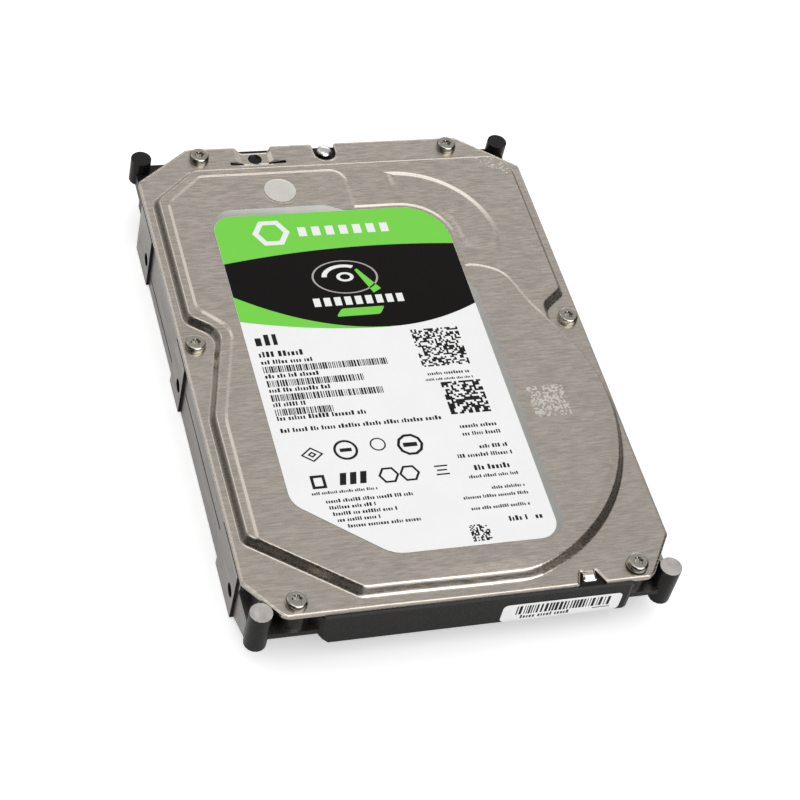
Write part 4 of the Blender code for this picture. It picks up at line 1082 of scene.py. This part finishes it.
# ---- finishes of the carried-over nodes
NODE_FINISH = {
    "rubber": "cover_gasket inner_crash_stop outer_crash_stop",
    "bare_steel": "bearing_sleeve bearing_end_plate spindle_shaft pivot_bearing pivot_shaft lower_yoke "
                  "upper_yoke upper_suspension lower_suspension latch_pin",
    "screw": "clamp_screw pivot_screw yoke_screw ramp_screw flex_bracket_screw",
    "lamination": "stator_core",
    "winding": "stator_windings",
    "coil": "voice_coil",
    "magnet": "lower_magnet upper_magnet",
    "rotor": "rotor_magnet",
    "aluminium": "e_block",
    "hub": "spindle_hub",
    "plastic": "coil_overmould flex_bracket sata_connector",
    "pale_plastic": "latch_lever ramp",
    "filter": "recirculation_filter breather_filter",
    "foam": "board_insulator",
    "chip": "controller_chip motor_driver_chip memory_chip preamp_chip upper_head_slider lower_head_slider",
    "board": "circuit_board",
    "flex": "flex_cable",
}

for finish, names in NODE_FINISH.items():
    for name in names.split():
        nodes[name].data.materials.clear()
        nodes[name].data.materials.append(materials[finish])


# ---- camera, floor and light
TARGET = Vector((0.77, -9.66, 10.0)) * MM
CAMERA_AZIMUTH = -26.518
CAMERA_ELEVATION = 48.07
CAMERA_ROLL = 15.519
CAMERA_DISTANCE = 525.118 * MM
CAMERA_LENS = 98.1
FLOOR_FADE = (14.0, 34.0)  # distance from the drive over which mirrored floor darkens
FLOOR_GLOW = 0.4


def make_camera():
    turn, lift = math.radians(CAMERA_AZIMUTH), math.radians(CAMERA_ELEVATION)
    back = Vector((math.sin(turn) * math.cos(lift), -math.cos(turn) * math.cos(lift), math.sin(lift)))
    data = bpy.data.cameras.new("camera")
    data.lens = CAMERA_LENS
    data.clip_start = 0.01
    data.clip_end = 20.0
    camera = linked("camera", data)
    camera.location = TARGET + back * CAMERA_DISTANCE
    camera.rotation_mode = "QUATERNION"
    roll = Matrix.Rotation(math.radians(CAMERA_ROLL), 4, "Z").to_quaternion()
    camera.rotation_quaternion = (-back).to_track_quat("-Z", "Y") @ roll
    bpy.context.scene.camera = camera


def floor_material():
    """Pale paint that glows a little, so that shadows stay soft; metal mirrors it darker far out."""
    made = surface("floor_paint", (0.93, 0.93, 0.93), 0.0, 0.75, 0.02, 0.004, 0.05, 0.0, 0.002,
                   Specular_IOR_Level=0.1)
    tree = made.node_tree
    shader = tree.nodes["Principled BSDF"]
    _, (x, y, _) = object_place(tree)
    beside = calc(tree, "SUBTRACT", calc(tree, "ABSOLUTE", x), HALF_W)
    before = calc(tree, "SUBTRACT", calc(tree, "ABSOLUTE", y), -FRONT)
    away = spread(tree, calc(tree, "MAXIMUM", beside, before), *FLOOR_FADE)
    path = add(tree, "LightPath")
    far = calc(tree, "MULTIPLY", path.outputs["Is Glossy Ray"], away)
    pale = shader.inputs["Base Color"].links[0].from_socket
    fill(tree, shader, {
        "Base_Color": blend_colour(tree, far, pale, (0.10, 0.095, 0.09, 1.0)),
        "Emission_Color": (1.0, 1.0, 1.0, 1.0),
        "Emission_Strength": calc(tree, "MULTIPLY", path.outputs["Is Camera Ray"], FLOOR_GLOW)})
    return made


def make_floor():
    """A plain pale floor just under the drive."""
    shape = bmesh.new()
    bmesh.ops.create_grid(shape, x_segments=8, y_segments=8, size=3.0)
    floor = linked("floor", mesh_from(shape, 0.0))
    floor.location.z = -0.05 * MM
    floor.data.materials.append(floor_material())


# where the studio is brighter or darker: direction, half angle in degrees, softness, added light
STUDIO = (
    ((0.30, -0.62, 0.72), 26.0, 10.0, 3.2),
    ((0.05, 0.20, 0.97), 12.0, 12.0, 0.35),
    ((0.34, 0.92, 0.12), 18.0, 10.0, 1.6),
    ((-0.20, -0.10, 0.97), 14.0, 8.0, 1.5),
    ((-0.42, 0.60, 0.68), 9.0, 6.0, 1.1),
    ((-0.58, -0.45, 0.68), 18.0, 10.0, -0.50),
    ((0.95, -0.15, 0.20), 36.0, 12.0, -0.62),
    ((-0.75, -0.65, 0.10), 32.0, 12.0, -0.62),
    ((-0.95, 0.25, 0.18), 26.0, 16.0, -0.35),
)
STUDIO_FILL = 0.64


def make_world():
    """Even light from all round, with brighter and darker parts for metal to mirror."""
    world = bpy.data.worlds.new("studio")
    world.use_nodes = True
    bpy.context.scene.world = world
    tree = world.node_tree
    way = add(tree, "TexCoord").outputs["Generated"]
    light = STUDIO_FILL
    for direction, half_angle, soft, extra in STUDIO:
        aim = Vector(direction).normalized()
        lined_up = add(tree, "VectorMath", {"operation": "DOT_PRODUCT"}, _0=way, _1=aim).outputs["Value"]
        outer, inner = (math.cos(math.radians(half_angle + way)) for way in (soft, -soft))
        lobe = add(tree, "MapRange", {"interpolation_type": "SMOOTHSTEP"}, Value=lined_up, From_Min=outer,
                   From_Max=inner, To_Max=extra).outputs[0]
        light = calc(tree, "ADD", lobe, light)
    light = calc(tree, "MAXIMUM", light, 0.03)
    mirrored = add(tree, "LightPath").outputs["Is Glossy Ray"]
    strength = blend_number(tree, mirrored, 1.0, light)
    fill(tree, tree.nodes["Background"], {"Color": (1.0, 1.0, 1.0, 1.0), "Strength": strength})


make_camera()
make_floor()
make_world()
bpy.context.scene.view_settings.view_transform = "Standard"
